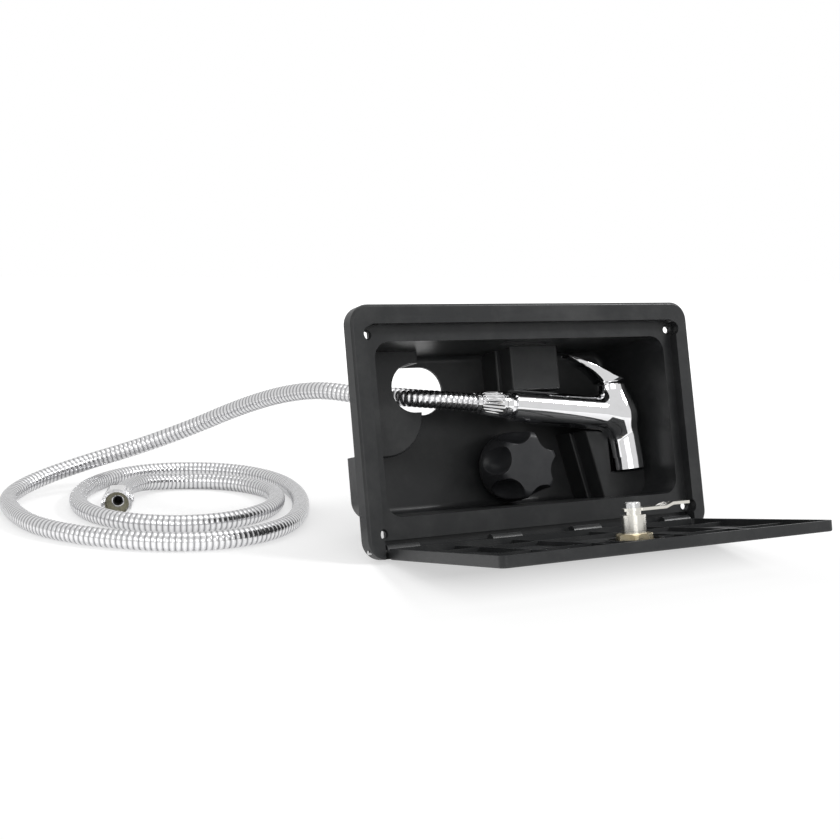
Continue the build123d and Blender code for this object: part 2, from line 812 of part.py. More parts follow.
# Hose fittings
def make_hose_cone():
    cone = along(hose_start, barrel_direction, 0, cone_taper_length, cone_small_radius, cone_large_radius)
    cone += along(hose_start, barrel_direction, cone_taper_length, cone_length, cone_large_radius)
    for place in cone_grooves:
        groove = along(hose_start, barrel_direction, place, place + 1.0, cone_large_radius + 2)
        floor_radius = cone_small_radius + 0.09 * place - cone_groove_depth
        groove -= along(hose_start, barrel_direction, place - 1, place + 2, floor_radius)
        cone -= groove
    seat = cone_length - inlet_stub_length - cone_washer_thickness
    cone -= along(hose_start, barrel_direction, -1, seat + 1, waterway_radius)
    cone -= along(hose_start, barrel_direction, seat, cone_length + 1, inlet_stub_radius)
    return cone


def make_hose_cone_washer():
    seat = cone_length - inlet_stub_length - cone_washer_thickness
    washer = along(hose_start, barrel_direction, seat, seat + cone_washer_thickness, inlet_stub_radius)
    return washer - along(hose_start, barrel_direction, seat - 1, seat + 5, waterway_radius)


def make_end_ferrule(origin, direction):
    neck_end = end_seat
    ferrule = along(origin, direction, 0, end_sleeve_length, end_sleeve_radius)
    ferrule += along(origin, direction, end_sleeve_length, neck_end, end_neck_radius)
    ferrule += along(origin, direction, neck_end, neck_end + end_flange_thickness, end_flange_radius)
    for place in (2.0, 4.6):
        groove = along(origin, direction, place, place + 1, end_sleeve_radius + 1)
        ferrule -= groove - along(origin, direction, place - 1, place + 2, end_sleeve_radius - 0.5)
    return ferrule - along(origin, direction, -1, 30, hose_bore_radius - 0.5)


def make_end_nut(origin, direction):
    nut_origin = Vector(*origin) + direction * end_nut_start
    plane = Plane(origin=nut_origin, x_dir=across_floor(direction), z_dir=direction)
    hexagonal = RegularPolygon(end_nut_flats / 2, 6, major_radius=False, rotation=0)
    nut = extrude(plane * hexagonal, amount=end_nut_length)
    trim = plane * Cylinder(end_nut_flats / 2 + 1.0, end_nut_length, align=bottom)
    trim = chamfer(trim.edges().filter_by(GeomType.CIRCLE), 0.9)
    nut = nut & trim
    nut_end = end_nut_start + end_nut_length
    nut -= along(origin, direction, end_nut_start - 1, nut_end, end_neck_radius + end_play)
    seat_end = end_seat + end_flange_thickness + end_washer_thickness
    nut -= along(origin, direction, end_nut_start + end_nut_rear_wall, seat_end, end_nut_bore_radius + 0.4)
    nut -= along(origin, direction, seat_end - 1, nut_end + 1, end_nut_bore_radius)
    return nut


def make_end_washer(origin, direction):
    seat = end_seat + end_flange_thickness
    washer = along(origin, direction, seat, seat + end_washer_thickness, end_flange_radius)
    return washer - along(origin, direction, seat - 1, seat + 5, 5.0)


def across_floor(direction):
    """A level direction square to the given one."""
    return Vector(0, 0, 1).cross(direction).normalized()


# The hose's route: from the handset through the box's hole in the box's own frame, then by points on
# the floor, as distance right of the flange's left edge, distance behind its lower back edge and height.
route_in_box = [
    (72.0, 50.5, 116.5),
    (56.0, 68.5, 121.0),
    (46.0, 92.0, 124.5),
]
route_on_floor = [
    (26, 140, 103),
    (11, 189, 93),
    (-7, 238, 76),
    (-32, 279, 55),
    (-71, 305, 36),
    (-118, 312, 23),
    (-165, 297, 13),
    (-194, 261, 8),
    (-198, 210, 7),
    (-192, 160, 7),
    (-170, 121, 7),
    (-141, 93, 7),
    (-110, 74, 7),
    (-77, 68, 7),
    (-44, 76, 7),
    (-13, 99, 7),
    (13, 141, 7),
    (34, 198, 7),
    (40, 258, 7),
    (21, 308, 7),
    (-21, 336, 7),
    (-70, 334, 7),
    (-111, 303, 7),
    (-139, 254, 7),
    (-148, 203, 7),
    (-136, 160, 7),
    (-107, 131, 7),
    (-68, 121, 7),
    (-30, 133, 7),
    (1, 164, 7),
    (19, 213, 7),
    (0, 264, 7),
    (-49, 287, 7),
    (-96, 266, 11.5),
    (-113, 218, 11.5),
]


def corner_radii(points):
    """At each inner point, the largest arc that its two runs allow."""
    radii = []
    for before, point, after in zip(points, points[1:], points[2:]):
        run_in = point - before
        run_out = after - point
        turn = math.radians(run_in.get_angle(run_out))
        radii.append(0.45 * min(run_in.length, run_out.length) / math.tan(turn / 2))
    return radii


def make_hose(points):
    """The ribbed hose: ruled ribs of four circles each round a smooth bore, with plain straight ends."""
    radii = corner_radii(points)
    print("hose radii", [round(radius) for radius in radii])
    path = Wire(FilletPolyline(*points, radius=radii).edges())
    length = path.length
    straight_end = 2 * hose_radius
    pitch = (length - 2 * straight_end) / hose_ribs

    def section(distance, radius):
        fraction = distance / length
        tangent = path.tangent_at(fraction)
        plane = Plane(origin=path.position_at(fraction), x_dir=across_floor(tangent), z_dir=tangent)
        return plane * Circle(radius)

    stretches = [[(0.0, hose_valley_radius), (straight_end, hose_valley_radius)]]
    for rib in range(hose_ribs):
        start = straight_end + rib * pitch
        stretches.append(
            [
                (start, hose_valley_radius),
                (start + rib_rise * pitch, hose_radius),
                (start + (rib_rise + rib_crest) * pitch, hose_radius),
                (start + pitch, hose_valley_radius),
            ]
        )
    stretches.append([(length - straight_end, hose_valley_radius), (length, hose_valley_radius)])

    bore = sweep(section(0.0, hose_bore_radius), path=path)
    bore_ends = [face for face in bore.faces() if face.geom_type == GeomType.PLANE]
    skin = [face for face in bore.faces() if face.geom_type != GeomType.PLANE]
    expected = -bore.volume
    for index, stretch in enumerate(stretches):
        sections = [section(distance, radius) for distance, radius in stretch]
        tube = loft(sections, ruled=True)
        expected += tube.volume
        end_places = [path.position_at(stretch[0][0] / length), path.position_at(stretch[-1][0] / length)]
        for face in tube.faces():
            nearest = min((face.center() - place).length for place in end_places)
            if nearest > 0.01:
                skin.append(face)
            elif index == 0 and (face.center() - end_places[0]).length < 0.01:
                first_end = face
            elif index == len(stretches) - 1 and (face.center() - end_places[1]).length < 0.01:
                last_end = face
    for end in (first_end, last_end):
        hole = min(bore_ends, key=lambda face: (face.center() - end.center()).length)
        skin.append(Face(end.outer_wire(), [hole.outer_wire()]))
    hose = Solid(Shell(skin))
    print("hose", round(length), "mm long, ribs", round(pitch, 2), "mm apart")
    print("hose volume", round(hose.volume), "its stretches less its bore", round(expected))
    return hose


box_pieces = {
    "housing": make_housing(),
    "wall_gasket": make_wall_gasket(),
    "hinge_pin_left": hinge_pin(1.0, 1.0 + hinge_pin_length),
    "hinge_pin_right": hinge_pin(flange_width - 1.0 - hinge_pin_length, flange_width - 1.0),
    "knob": make_knob(),
    "knob_grub_screw": make_knob_grub_screw(),
    "valve_spindle": make_valve_spindle(),
    "valve_neck": make_valve_neck(),
    "valve_nut": make_valve_nut(),
    "valve_washer": make_valve_washer(),
    "valve_body": make_valve_body(),
    "inlet_filter_hot": make_inlet_filter(-1),
    "inlet_filter_cold": make_inlet_filter(1),
    "handset_body": make_handset_body(),
    "handset_cartridge": make_handset_cartridge(),
    "handset_lever": make_handset_lever(),
    "lever_pin": make_lever_pin(),
    "aerator_ring": make_aerator_ring(),
    "aerator_insert": make_aerator_insert(),
}
lid_pieces = {
    "lid": make_lid(),
    "lock_body": make_lock_body(),
    "lock_gasket": make_lock_gasket(),
    "lock_washer": make_lock_washer(),
    "lock_nut": make_lock_nut(),
    "lock_plug": make_lock_plug(),
    "lock_cam": make_lock_cam(),
    "cam_screw": make_cam_screw(),
}
hose_pieces = {
    "hose_cone": make_hose_cone(),
    "hose_cone_washer": make_hose_cone_washer(),
}

# The lid and its lock swing open about the hinge.
hinge = Location((0, hinge_y, hinge_z))
open_lid = hinge * Location((0, 0, 0), (lid_open_angle, 0, 0)) * hinge.inverse()
for name, piece in lid_pieces.items():
    box_pieces[name] = open_lid * piece

# The whole box leans back until the flange's edge and the outlet's rim touch the floor.
leaned = Location((0, 0, 0), (-lean, 0, 0))
rest_edge = moved(leaned, (flange_width / 2, flange_depth, 0))
standing = Location((-rest_edge.X, -rest_edge.Y, -rest_edge.Z)) * leaned
bounds = [(standing * piece).bounding_box() for piece in box_pieces.values()]
middle_x = (min(box.min.X for box in bounds) + max(box.max.X for box in bounds)) / 2
middle_y = (min(box.min.Y for box in bounds) + max(box.max.Y for box in bounds)) / 2
centred = Location((-middle_x, -middle_y, 0))
placed = centred * standing
print("lean", round(lean, 3), "rest edge at y", round(-middle_y, 3), "x of box middle", round(-middle_x, 3))

route = [moved(placed, hose_start)]
first_run = 22.7
route.append(moved(placed, hose_start - barrel_direction * first_run))
for point in route_in_box:
    route.append(moved(placed, point))
for right, behind, height in route_on_floor:
    route.append(Vector(right - flange_width / 2 - middle_x, behind - middle_y, height))
print("hose route", [tuple(round(value, 1) for value in point) for point in route])
runs = [(after - before).length for before, after in zip(route, route[1:])]
print("hose runs", [round(run) for run in runs])

pieces = {name: placed * piece for name, piece in box_pieces.items()}
for name, piece in hose_pieces.items():
    pieces[name] = placed * piece
hose_end = route[-1]
hose_heading = (route[-1] - route[-2]).normalized()
pieces["hose"] = make_hose(route)
pieces["hose_end_ferrule"] = make_end_ferrule(hose_end, hose_heading)
pieces["hose_end_nut"] = make_end_nut(hose_end, hose_heading)
pieces["hose_end_washer"] = make_end_washer(hose_end, hose_heading)

os.makedirs("parts", exist_ok=True)
for name, piece in pieces.items():
    export_step(piece, "parts/" + name + ".step")
    print(name, round(piece.volume))
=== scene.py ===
import bpy
import bmesh
import json
import math
import numpy as np
from mathutils import Matrix, Vector


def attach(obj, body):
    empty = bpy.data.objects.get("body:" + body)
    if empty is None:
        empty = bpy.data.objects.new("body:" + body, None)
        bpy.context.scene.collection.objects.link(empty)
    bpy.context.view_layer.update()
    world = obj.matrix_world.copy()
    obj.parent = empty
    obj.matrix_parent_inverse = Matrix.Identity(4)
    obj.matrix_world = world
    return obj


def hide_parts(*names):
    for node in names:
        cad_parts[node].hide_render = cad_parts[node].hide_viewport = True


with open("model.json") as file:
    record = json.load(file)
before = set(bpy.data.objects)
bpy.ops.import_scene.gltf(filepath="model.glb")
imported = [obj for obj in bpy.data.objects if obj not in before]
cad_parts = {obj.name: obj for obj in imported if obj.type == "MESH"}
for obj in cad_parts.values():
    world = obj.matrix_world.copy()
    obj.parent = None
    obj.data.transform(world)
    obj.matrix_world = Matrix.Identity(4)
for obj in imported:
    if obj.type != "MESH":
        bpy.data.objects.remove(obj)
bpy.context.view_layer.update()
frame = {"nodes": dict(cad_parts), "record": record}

# The exterior shower box. Lengths are metres unless a name ends in MM.
# Places on the box are given as the box's own millimetres: x right from the flange's left edge,
# y into the wall from its front rim, z up from its bottom edge. row() leans them with the box.

nodes = frame["nodes"]

# How the box stands: leaned back on its flange's bottom back edge
LEAN = math.radians(13.999)
REST_Y_MM = 18.425
FLANGE_DEPTH_MM = 13.0
BOX_MIDDLE_MM = 148.0


def row(x, y, z):
    """A place on the box, in millimetres, as a place in the frame, in metres."""
    lean_cos = math.cos(LEAN)
    lean_sin = math.sin(LEAN)
    deep = y - FLANGE_DEPTH_MM
    back = deep * lean_cos + z * lean_sin + REST_Y_MM
    up = z * lean_cos - deep * lean_sin
    return Vector((x - BOX_MIDDLE_MM, back, up)) / 1000


# Shader maths
class Link:
    """A shader socket that takes part in plain arithmetic."""

    def __init__(self, shade, socket):
        self.shade = shade
        self.socket = socket

    def maths(self, operation, first, second):
        return self.shade.node("ShaderNodeMath", {"operation": operation}, {0: first, 1: second})

    def __add__(self, other):
        return self.maths("ADD", self, other)

    def __radd__(self, other):
        return self.maths("ADD", other, self)

    def __rsub__(self, other):
        return self.maths("SUBTRACT", other, self)

    def __mul__(self, other):
        return self.maths("MULTIPLY", self, other)

    def __rmul__(self, other):
        return self.maths("MULTIPLY", other, self)


class Shade:
    """A material's node tree, built up by calls."""

    def __init__(self, name):
        self.material = bpy.data.materials.new(name)
        self.material.use_nodes = True
        self.tree = self.material.node_tree
        self.surface = self.tree.nodes["Principled BSDF"]

    def node(self, kind, settings=None, inputs=None, out=0):
        """Any node: its settings first, then its inputs' values or links. Gives one output."""
        made = self.tree.nodes.new(kind)
        for key, value in (settings or {}).items():
            setattr(made, key, value)
        for key, value in (inputs or {}).items():
            if isinstance(value, Link):
                self.tree.links.new(value.socket, made.inputs[key])
            else:
                made.inputs[key].default_value = value
        return Link(self, made.outputs[out])

    def place(self, scale=(1, 1, 1), turn=(0, 0, 0)):
        """Object coordinates, stretched and turned."""
        where = self.node("ShaderNodeTexCoord", out="Object")
        return self.node("ShaderNodeMapping", {}, {"Vector": where, "Scale": scale, "Rotation": turn})

    def noise(self, scale, detail, rough, stretch=(1, 1, 1), turn=(0, 0, 0)):
        keys = {"Vector": self.place(stretch, turn), "Scale": scale, "Detail": detail, "Roughness": rough}
        return self.node("ShaderNodeTexNoise", {}, keys)

    def ramp(self, value, low, high, dark=0.0, light=1.0):
        """The value spread from low..high to dark..light, held at both ends."""
        keys = {"Value": value, "From Min": low, "From Max": high, "To Min": dark, "To Max": light}
        return self.node("ShaderNodeMapRange", {"clamp": True}, keys)

    def blend(self, share, first, second):
        """A colour between two, by a share from 0 to 1."""
        settings = {"data_type": "RGBA", "blend_type": "MIX"}
        return self.node("ShaderNodeMix", settings, {"Factor": share, 6: first, 7: second}, out=2)

    def bump(self, height, strength, distance, after=None):
        keys = {"Height": height, "Strength": strength, "Distance": distance}
        if after is not None:
            keys["Normal"] = after
        return self.node("ShaderNodeBump", {}, keys)

    def finish(self, **sockets):
        """Sets the surface's own sockets: a number is written, a link is joined."""
        for key, value in sockets.items():
            socket = self.surface.inputs[key.replace("_", " ")]
            if isinstance(value, Link):
                self.tree.links.new(value.socket, socket)
            else:
                socket.default_value = value
        return self.material


def colour(red, green, blue):
    return (red, green, blue, 1.0)


# Finishes
def moulded_plastic(name, dark, light, gloss, grain):
    """Black moulded plastic: faint flow marks, fine orange peel, rubbed and dusty patches."""
    shade = Shade(name)
    flow = shade.noise(scale=9.0, detail=4.0, rough=0.55, stretch=(1.0, 1.0, 0.35))
    peel = shade.noise(scale=grain, detail=3.0, rough=0.6)
    dust = shade.ramp(shade.noise(scale=38.0, detail=6.0, rough=0.65), 0.45, 0.75)
    rubs = shade.noise(scale=120.0, detail=2.0, rough=0.5, stretch=(0.08, 1.0, 1.0), turn=(0.3, 0.2, 0.7))
    scuffs = shade.ramp(rubs, 0.63, 0.72)
    tint = shade.blend(shade.ramp(flow, 0.3, 0.7), colour(*dark), colour(*light))
    tint = shade.blend(dust * 0.10, tint, colour(0.16, 0.16, 0.155))
    rough = gloss + 0.10 * shade.ramp(flow, 0.35, 0.65) + 0.08 * dust + 0.07 * scuffs
    skin = shade.bump(peel, strength=0.22, distance=0.00025)
    skin = shade.bump(scuffs, strength=0.12, distance=0.0001, after=skin)
    return shade.finish(Base_Color=tint, Roughness=rough, Normal=skin, Specular_IOR_Level=0.32)


def plated_metal(name, base, dull, gloss, grain, relief):
    """Bright plating with faint water marks, hairline wear and a slightly uneven skin."""
    shade = Shade(name)
    marks = shade.ramp(shade.noise(scale=55.0, detail=5.0, rough=0.6), 0.52, 0.72)
    wear = shade.noise(scale=300.0, detail=2.0, rough=0.5, stretch=(0.05, 1.0, 1.0), turn=(0.1, 0.5, 0.2))
    hairs = shade.ramp(wear, 0.6, 0.75)
    skin = shade.noise(scale=grain, detail=2.0, rough=0.5)
    tint = shade.blend(marks * 0.35, colour(*base), colour(*dull))
    rough = gloss + 0.06 * marks + 0.05 * hairs
    uneven = shade.bump(skin, strength=relief, distance=0.0001)
    return shade.finish(Base_Color=tint, Roughness=rough, Metallic=1.0, Normal=uneven)


def aged_brass(name):
    """Machined brass under a thin yellowed passivation, darker where it was handled."""
    shade = Shade(name)
    patches = shade.ramp(shade.noise(scale=160.0, detail=5.0, rough=0.65), 0.35, 0.7)
    lathe = shade.noise(scale=900.0, detail=2.0, rough=0.5, stretch=(1.0, 0.04, 1.0))
    tint = shade.blend(patches, colour(0.86, 0.78, 0.58), colour(0.62, 0.50, 0.29))
    rough = 0.24 + 0.16 * patches
    rings = shade.bump(lathe, strength=0.2, distance=0.0001)
    return shade.finish(Base_Color=tint, Roughness=rough, Metallic=1.0, Normal=rings)


def ribbed_metal(name):
    """Chromed interlocked strip, with painted shade down in its seams, which are also duller."""
    shade = Shade(name)
    seam = shade.node("ShaderNodeAttribute", {"attribute_name": "seam"}, out="Fac")
    marks = shade.ramp(shade.noise(scale=220.0, detail=4.0, rough=0.6), 0.4, 0.7)
    # Painted shade: the colour darkens with the depth into each seam
    tint = shade.blend(seam, colour(0.88, 0.88, 0.89), colour(0.24, 0.24, 0.25))
    rough = 0.13 + 0.08 * marks + 0.20 * seam
    return shade.finish(Base_Color=tint, Roughness=rough, Metallic=1.0)


def soft_rubber(name, dark, light, gloss, grain):
    """Mottled rubber or soft plastic with a dull bloom in patches."""
    shade = Shade(name)
    mottle = shade.noise(scale=grain, detail=5.0, rough=0.6)
    bloom = shade.ramp(shade.noise(scale=60.0, detail=4.0, rough=0.6), 0.45, 0.75)
    tint = shade.blend(shade.ramp(mottle, 0.35, 0.65), colour(*dark), colour(*light))
    rough = gloss + 0.10 * bloom
    skin = shade.bump(mottle, strength=0.35, distance=0.0003)
    return shade.finish(Base_Color=tint, Roughness=rough, Normal=skin)


def cell_foam(name):
    """Closed-cell foam: a grey-black skin of tiny open cells."""
    shade = Shade(name)
    keys = {"Vector": shade.place(), "Scale": 1100.0}
    cells = shade.node("ShaderNodeTexVoronoi", {}, keys, out="Distance")
    pits = shade.ramp(cells, 0.1, 0.5)
    tint = shade.blend(pits, colour(0.012, 0.012, 0.012), colour(0.055, 0.055, 0.055))
    skin = shade.bump(pits, strength=0.6, distance=0.0004)
    return shade.finish(Base_Color=tint, Roughness=0.9, Normal=skin)


# Each finish by its slot: dark and light colour, gloss as roughness, grain of its skin
PLASTICS = {
    "tray_plastic": ((0.017, 0.018, 0.019), (0.023, 0.024, 0.025), 0.28, 900.0),
    "knob_plastic": ((0.022, 0.023, 0.025), (0.030, 0.031, 0.034), 0.26, 1300.0),
    "valve_plastic": ((0.035, 0.035, 0.036), (0.05, 0.05, 0.052), 0.42, 700.0),
}
RUBBERS = {
    "black_rubber": ((0.015, 0.015, 0.015), (0.03, 0.03, 0.03), 0.65, 900.0),
    "washer_rubber": ((0.20, 0.19, 0.13), (0.32, 0.305, 0.22), 0.5, 800.0),
    "aerator_plastic": ((0.30, 0.30, 0.30), (0.42, 0.42, 0.41), 0.4, 500.0),
}
# Each plating by its slot: bright and dull colour, gloss as roughness, grain and relief of its skin
PLATINGS = {
    "chrome_plate": ((0.86, 0.86, 0.87), (0.70, 0.70, 0.70), 0.045, 420.0, 0.06),
    "zinc_plate": ((0.82, 0.80, 0.74), (0.60, 0.57, 0.49), 0.20, 700.0, 0.15),
    "steel": ((0.66, 0.66, 0.66), (0.45, 0.45, 0.45), 0.26, 900.0, 0.2),
    "nut_metal": ((0.90, 0.90, 0.90), (0.76, 0.75, 0.73), 0.10, 600.0, 0.08),
}

FINISHES = {
    "gasket_foam": cell_foam("gasket_foam"),
    "brass": aged_brass("brass"),
    "hose_metal": ribbed_metal("hose_metal"),
}
for maker, table in ((moulded_plastic, PLASTICS), (soft_rubber, RUBBERS), (plated_metal, PLATINGS)):
    for finish, values in table.items():
        FINISHES[finish] = maker(finish, *values)


# Pieces
def dress(piece, slot):
    """Gives a piece the finish of the slot that it stands for."""
    piece.data.materials.clear()
    piece.data.materials.append(FINISHES[slot])
    return piece


def put(name, data):
    """A new object at the origin, in the scene."""
    thing = bpy.data.objects.new(name, data)
    bpy.context.scene.collection.objects.link(thing)
    return thing


def smooth(mesh):
    for face in mesh.polygons:
        face.use_smooth = True
    return mesh


def settle(piece):
    """Turns a piece with live modifiers into the plain mesh that they give."""
    graph = bpy.context.evaluated_depsgraph_get()
    mesh = bpy.data.meshes.new_from_object(piece.evaluated_get(graph))
    piece.modifiers.clear()
    piece.data = mesh
    return piece


def outward(mesh):
    """Merges doubled points and turns every face outwards."""
    shape = bmesh.new()
    shape.from_mesh(mesh)
    bmesh.ops.remove_doubles(shape, verts=shape.verts, dist=1e-6)
    bmesh.ops.recalc_face_normals(shape, faces=shape.faces)
    shape.to_mesh(mesh)
    shape.free()
    return mesh


def sharpen(mesh, angle):
    """Marks the edges steeper than the angle, so that smooth shading breaks there."""
    mesh.set_sharp_from_angle(angle=math.radians(angle))
    return mesh


def closed_skin(name, rings):
    """A closed skin through rings of points, each ring with as many points as the next."""
    count = len(rings[0])
    points = [point for ring in rings for point in ring]
    faces = []
    for index in range(len(rings) - 1):
        for step in range(count):
            after = (step + 1) % count
            here = index * count
            there = here + count
            faces.append((here + step, here + after, there + after, there + step))
    for base in (0, (len(rings) - 1) * count):
        faces.append(tuple(range(base, base + count)))
    mesh = bpy.data.meshes.new(name)
    mesh.from_pydata([tuple(point) for point in points], [], faces)
    return smooth(outward(mesh))


# Hose
HOSE_SEAM_RADIUS = 0.0065
HOSE_CREST_RADIUS = 0.00695
HOSE_SIDES = 22
# A rib has five rings of points, each at its share of the way from seam to crest
RIB_PITCH = 0.0041
RIB_PROFILE = (0.0, 0.72, 1.0, 1.0, 0.72)
RING_MATCH = 0.25

# The hose's route in millimetres of the frame: out of the handset, through the hole, two loops
HOSE_ROUTE_MM = [
    (-31.0, 73.3, 100.3),
    (-53.5, 73.9, 102.8),
    (-76.0, 83.0, 104.0),
    (-92.0, 101.5, 104.0),
    (-102.0, 125.2, 101.7),
    (-122.0, 158.4, 103.0),
    (-137.0, 207.4, 93.0),
    (-155.0, 256.4, 76.0),
    (-180.0, 297.4, 55.0),
    (-219.0, 323.4, 36.0),
    (-266.0, 330.4, 23.0),
    (-313.0, 315.4, 13.0),
    (-342.0, 279.4, 8.0),
    (-346.0, 228.4, 7.0),
    (-340.0, 178.4, 7.0),
    (-318.0, 139.4, 7.0),
    (-289.0, 111.4, 7.0),
    (-258.0, 92.4, 7.0),
    (-225.0, 86.4, 7.0),
    (-192.0, 94.4, 7.0),
    (-161.0, 117.4, 7.0),
    (-135.0, 159.4, 7.0),
    (-114.0, 216.4, 7.0),
    (-108.0, 276.4, 7.0),
    (-127.0, 326.4, 7.0),
    (-169.0, 354.4, 7.0),
    (-218.0, 352.4, 7.0),
    (-259.0, 321.4, 7.0),
    (-287.0, 272.4, 7.0),
    (-296.0, 221.4, 7.0),
    (-284.0, 178.4, 7.0),
    (-255.0, 149.4, 7.0),
    (-216.0, 139.4, 7.0),
    (-178.0, 151.4, 7.0),
    (-147.0, 182.4, 7.0),
    (-129.0, 231.4, 7.0),
    (-148.0, 282.4, 7.0),
    (-197.0, 305.4, 7.0),
    (-244.0, 284.4, 11.5),
    (-261.0, 236.4, 11.5),
]


def hose_line():
    """The hose's centre line: one smooth curve with the route's points as its control points."""
    data = bpy.data.curves.new("hose_line", "CURVE")
    data.dimensions = "3D"
    data.resolution_u = 24
    spline = data.splines.new("NURBS")
    spline.points.add(len(HOSE_ROUTE_MM) - 1)
    for point, place in zip(spline.points, HOSE_ROUTE_MM):
        point.co = (*(value / 1000 for value in place), 1.0)
    spline.order_u = 3
    spline.use_endpoint_u = True
    return put("hose_line", data)


def rib_tree():
    """Follows a line with a tube whose radius rises and falls once a rib."""
    tree = bpy.data.node_groups.new("ribbed_tube", "GeometryNodeTree")
    face = tree.interface
    face.new_socket(name="Line", in_out="INPUT", socket_type="NodeSocketGeometry")
    for name in ("Pitch", "Seam Radius", "Crest Radius"):
        face.new_socket(name=name, in_out="INPUT", socket_type="NodeSocketFloat")
    face.new_socket(name="Sides", in_out="INPUT", socket_type="NodeSocketInt")
    face.new_socket(name="Finish", in_out="INPUT", socket_type="NodeSocketMaterial")
    face.new_socket(name="Tube", in_out="OUTPUT", socket_type="NodeSocketGeometry")

    def add(kind, inputs=None, **settings):
        made = tree.nodes.new(kind)
        for key, value in settings.items():
            setattr(made, key, value)
        for key, value in (inputs or {}).items():
            if isinstance(value, bpy.types.NodeSocket):
                tree.links.new(value, made.inputs[key])
            else:
                made.inputs[key].default_value = value
        return made

    def maths(operation, *values):
        return add("ShaderNodeMath", dict(enumerate(values)), operation=operation).outputs[0]

    source = add("NodeGroupInput").outputs
    rings = float(len(RIB_PROFILE))
    keys = {"Curve": source["Line"], "Length": maths("DIVIDE", source["Pitch"], rings)}
    line = add("GeometryNodeResampleCurve", keys, mode="LENGTH").outputs[0]
    index = add("GeometryNodeInputIndex").outputs[0]
    turn = maths("MODULO", index, rings)
    rise = 0.0
    for place, height in enumerate(RIB_PROFILE):
        near = maths("COMPARE", turn, float(place), RING_MATCH)
        rise = maths("ADD", rise, maths("MULTIPLY", near, height))
    spread = maths("SUBTRACT", source["Crest Radius"], source["Seam Radius"])
    radius = maths("MULTIPLY_ADD", spread, rise, source["Seam Radius"])
    # How deep a point lies in a seam: the hose's finish paints shade there by it and makes it duller
    depth = maths("SUBTRACT", 1.0, rise)
    keys = {"Geometry": line, "Name": "seam", "Value": depth}
    marked = add("GeometryNodeStoreNamedAttribute", keys, domain="POINT")
    shaped = add("GeometryNodeSetCurveRadius", {"Curve": marked.outputs[0], "Radius": radius})
    circle = add("GeometryNodeCurvePrimitiveCircle", {"Resolution": source["Sides"], "Radius": 1.0})
    keys = {"Curve": shaped.outputs[0], "Profile Curve": circle.outputs["Curve"], "Fill Caps": True}
    tube = add("GeometryNodeCurveToMesh", keys)
    if "Scale" in tube.inputs:
        tree.links.new(radius, tube.inputs["Scale"])
    soft = add("GeometryNodeSetShadeSmooth", {"Geometry": tube.outputs[0]})
    solid = add("GeometryNodeRealizeInstances", {"Geometry": soft.outputs[0]})
    keys = {"Geometry": solid.outputs[0], "Material": source["Finish"]}
    dressed = add("GeometryNodeSetMaterial", keys)
    result = add("NodeGroupOutput")
    tree.links.new(dressed.outputs[0], result.inputs["Tube"])
    return tree


def follow(line, tree, values):
    """Runs a tree on a line and gives the mesh it makes."""
    modifier = line.modifiers.new("follow", "NODES")
    modifier.node_group = tree
    for item in tree.interface.items_tree:
        if item.in_out == "INPUT" and item.name in values:
            modifier[item.identifier] = values[item.name]
    graph = bpy.context.evaluated_depsgraph_get()
    mesh = bpy.data.meshes.new_from_object(line.evaluated_get(graph), depsgraph=graph)
    line.modifiers.remove(modifier)
    return mesh


def make_hose():
    line = hose_line()
    graph = bpy.context.evaluated_depsgraph_get()
    path_mesh = bpy.data.meshes.new_from_object(line.evaluated_get(graph))
    values = {
        "Pitch": RIB_PITCH,
        "Seam Radius": HOSE_SEAM_RADIUS,
        "Crest Radius": HOSE_CREST_RADIUS,
        "Sides": HOSE_SIDES,
        "Finish": FINISHES["hose_metal"],
    }
    mesh = follow(line, rib_tree(), values)
    mesh.name = "shower_hose"
    hose = put("shower_hose", smooth(mesh))
    bpy.data.objects.remove(line)
    dress(hose, "hose_metal")
    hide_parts("hose")
    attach(hose, "box")
    return hose


# The inner tube's section: distance past the hose's end and radius, a cup with its mouth outwards
LINER_SIDES = 32
LINER_PROFILE_MM = [
    (0.2, 0.4),
    (0.2, 3.85),
    (14.3, 3.85),
    (14.5, 3.65),
    (14.5, 3.1),
    (1.2, 3.1),
    (1.2, 0.4),
]


def make_liner():
    """The hose's own rubber tube, which shows dark inside the loose end's ferrule."""
    end = Vector(HOSE_ROUTE_MM[-1])
    along = (end - Vector(HOSE_ROUTE_MM[-2])).normalized()
    side = along.cross(Vector((0, 0, 1))).normalized()
    other = side.cross(along)
    rings = []
    for distance, radius in LINER_PROFILE_MM:
        ring = []
        for step in range(LINER_SIDES):
            angle = 2 * math.pi * step / LINER_SIDES
            offset = side * (radius * math.cos(angle)) + other * (radius * math.sin(angle))
            ring.append((end + along * distance + offset) / 1000)
        rings.append(ring)
    mesh = closed_skin("hose_inner_tube", rings)
    liner = put("hose_inner_tube", sharpen(mesh, 40))
    dress(liner, "black_rubber")
    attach(liner, "box")
    return liner


# Handset: a barrel, a spout and a column, each a tapering round bar whose far ends are cut flat
HANDSET_Y_MM = 42.0
BARREL_START_MM = np.array((150.0, HANDSET_Y_MM, 106.8))
ELBOW_MM = np.array((253.9, HANDSET_Y_MM, 95.0))
BARREL_SLOPE = math.radians(6.55)
BARREL_DIRECTION = np.array((math.cos(BARREL_SLOPE), 0.0, -math.sin(BARREL_SLOPE)))
BARREL_RADII_MM = (12.3, 14.1)
BARREL_SHORT_OF_ELBOW_MM = 9.0
SPOUT_TILT = math.radians(2.8)
SPOUT_DIRECTION = np.array((math.sin(SPOUT_TILT), 0.0, -math.cos(SPOUT_TILT)))
SPOUT_LENGTH_MM = 34.0
SPOUT_RADII_MM = (12.8, 13.0)
SPOUT_BACK_FROM_ELBOW_MM = 2.0
COLUMN_X_MM = 246.0
COLUMN_TOP_MM = 119.2
COLUMN_RADII_MM = (12.6, 11.0)
COLUMN_FOOT_SHIFT_MM = 4.0
COLUMN_HEAD_SHIFT_MM = -1.0
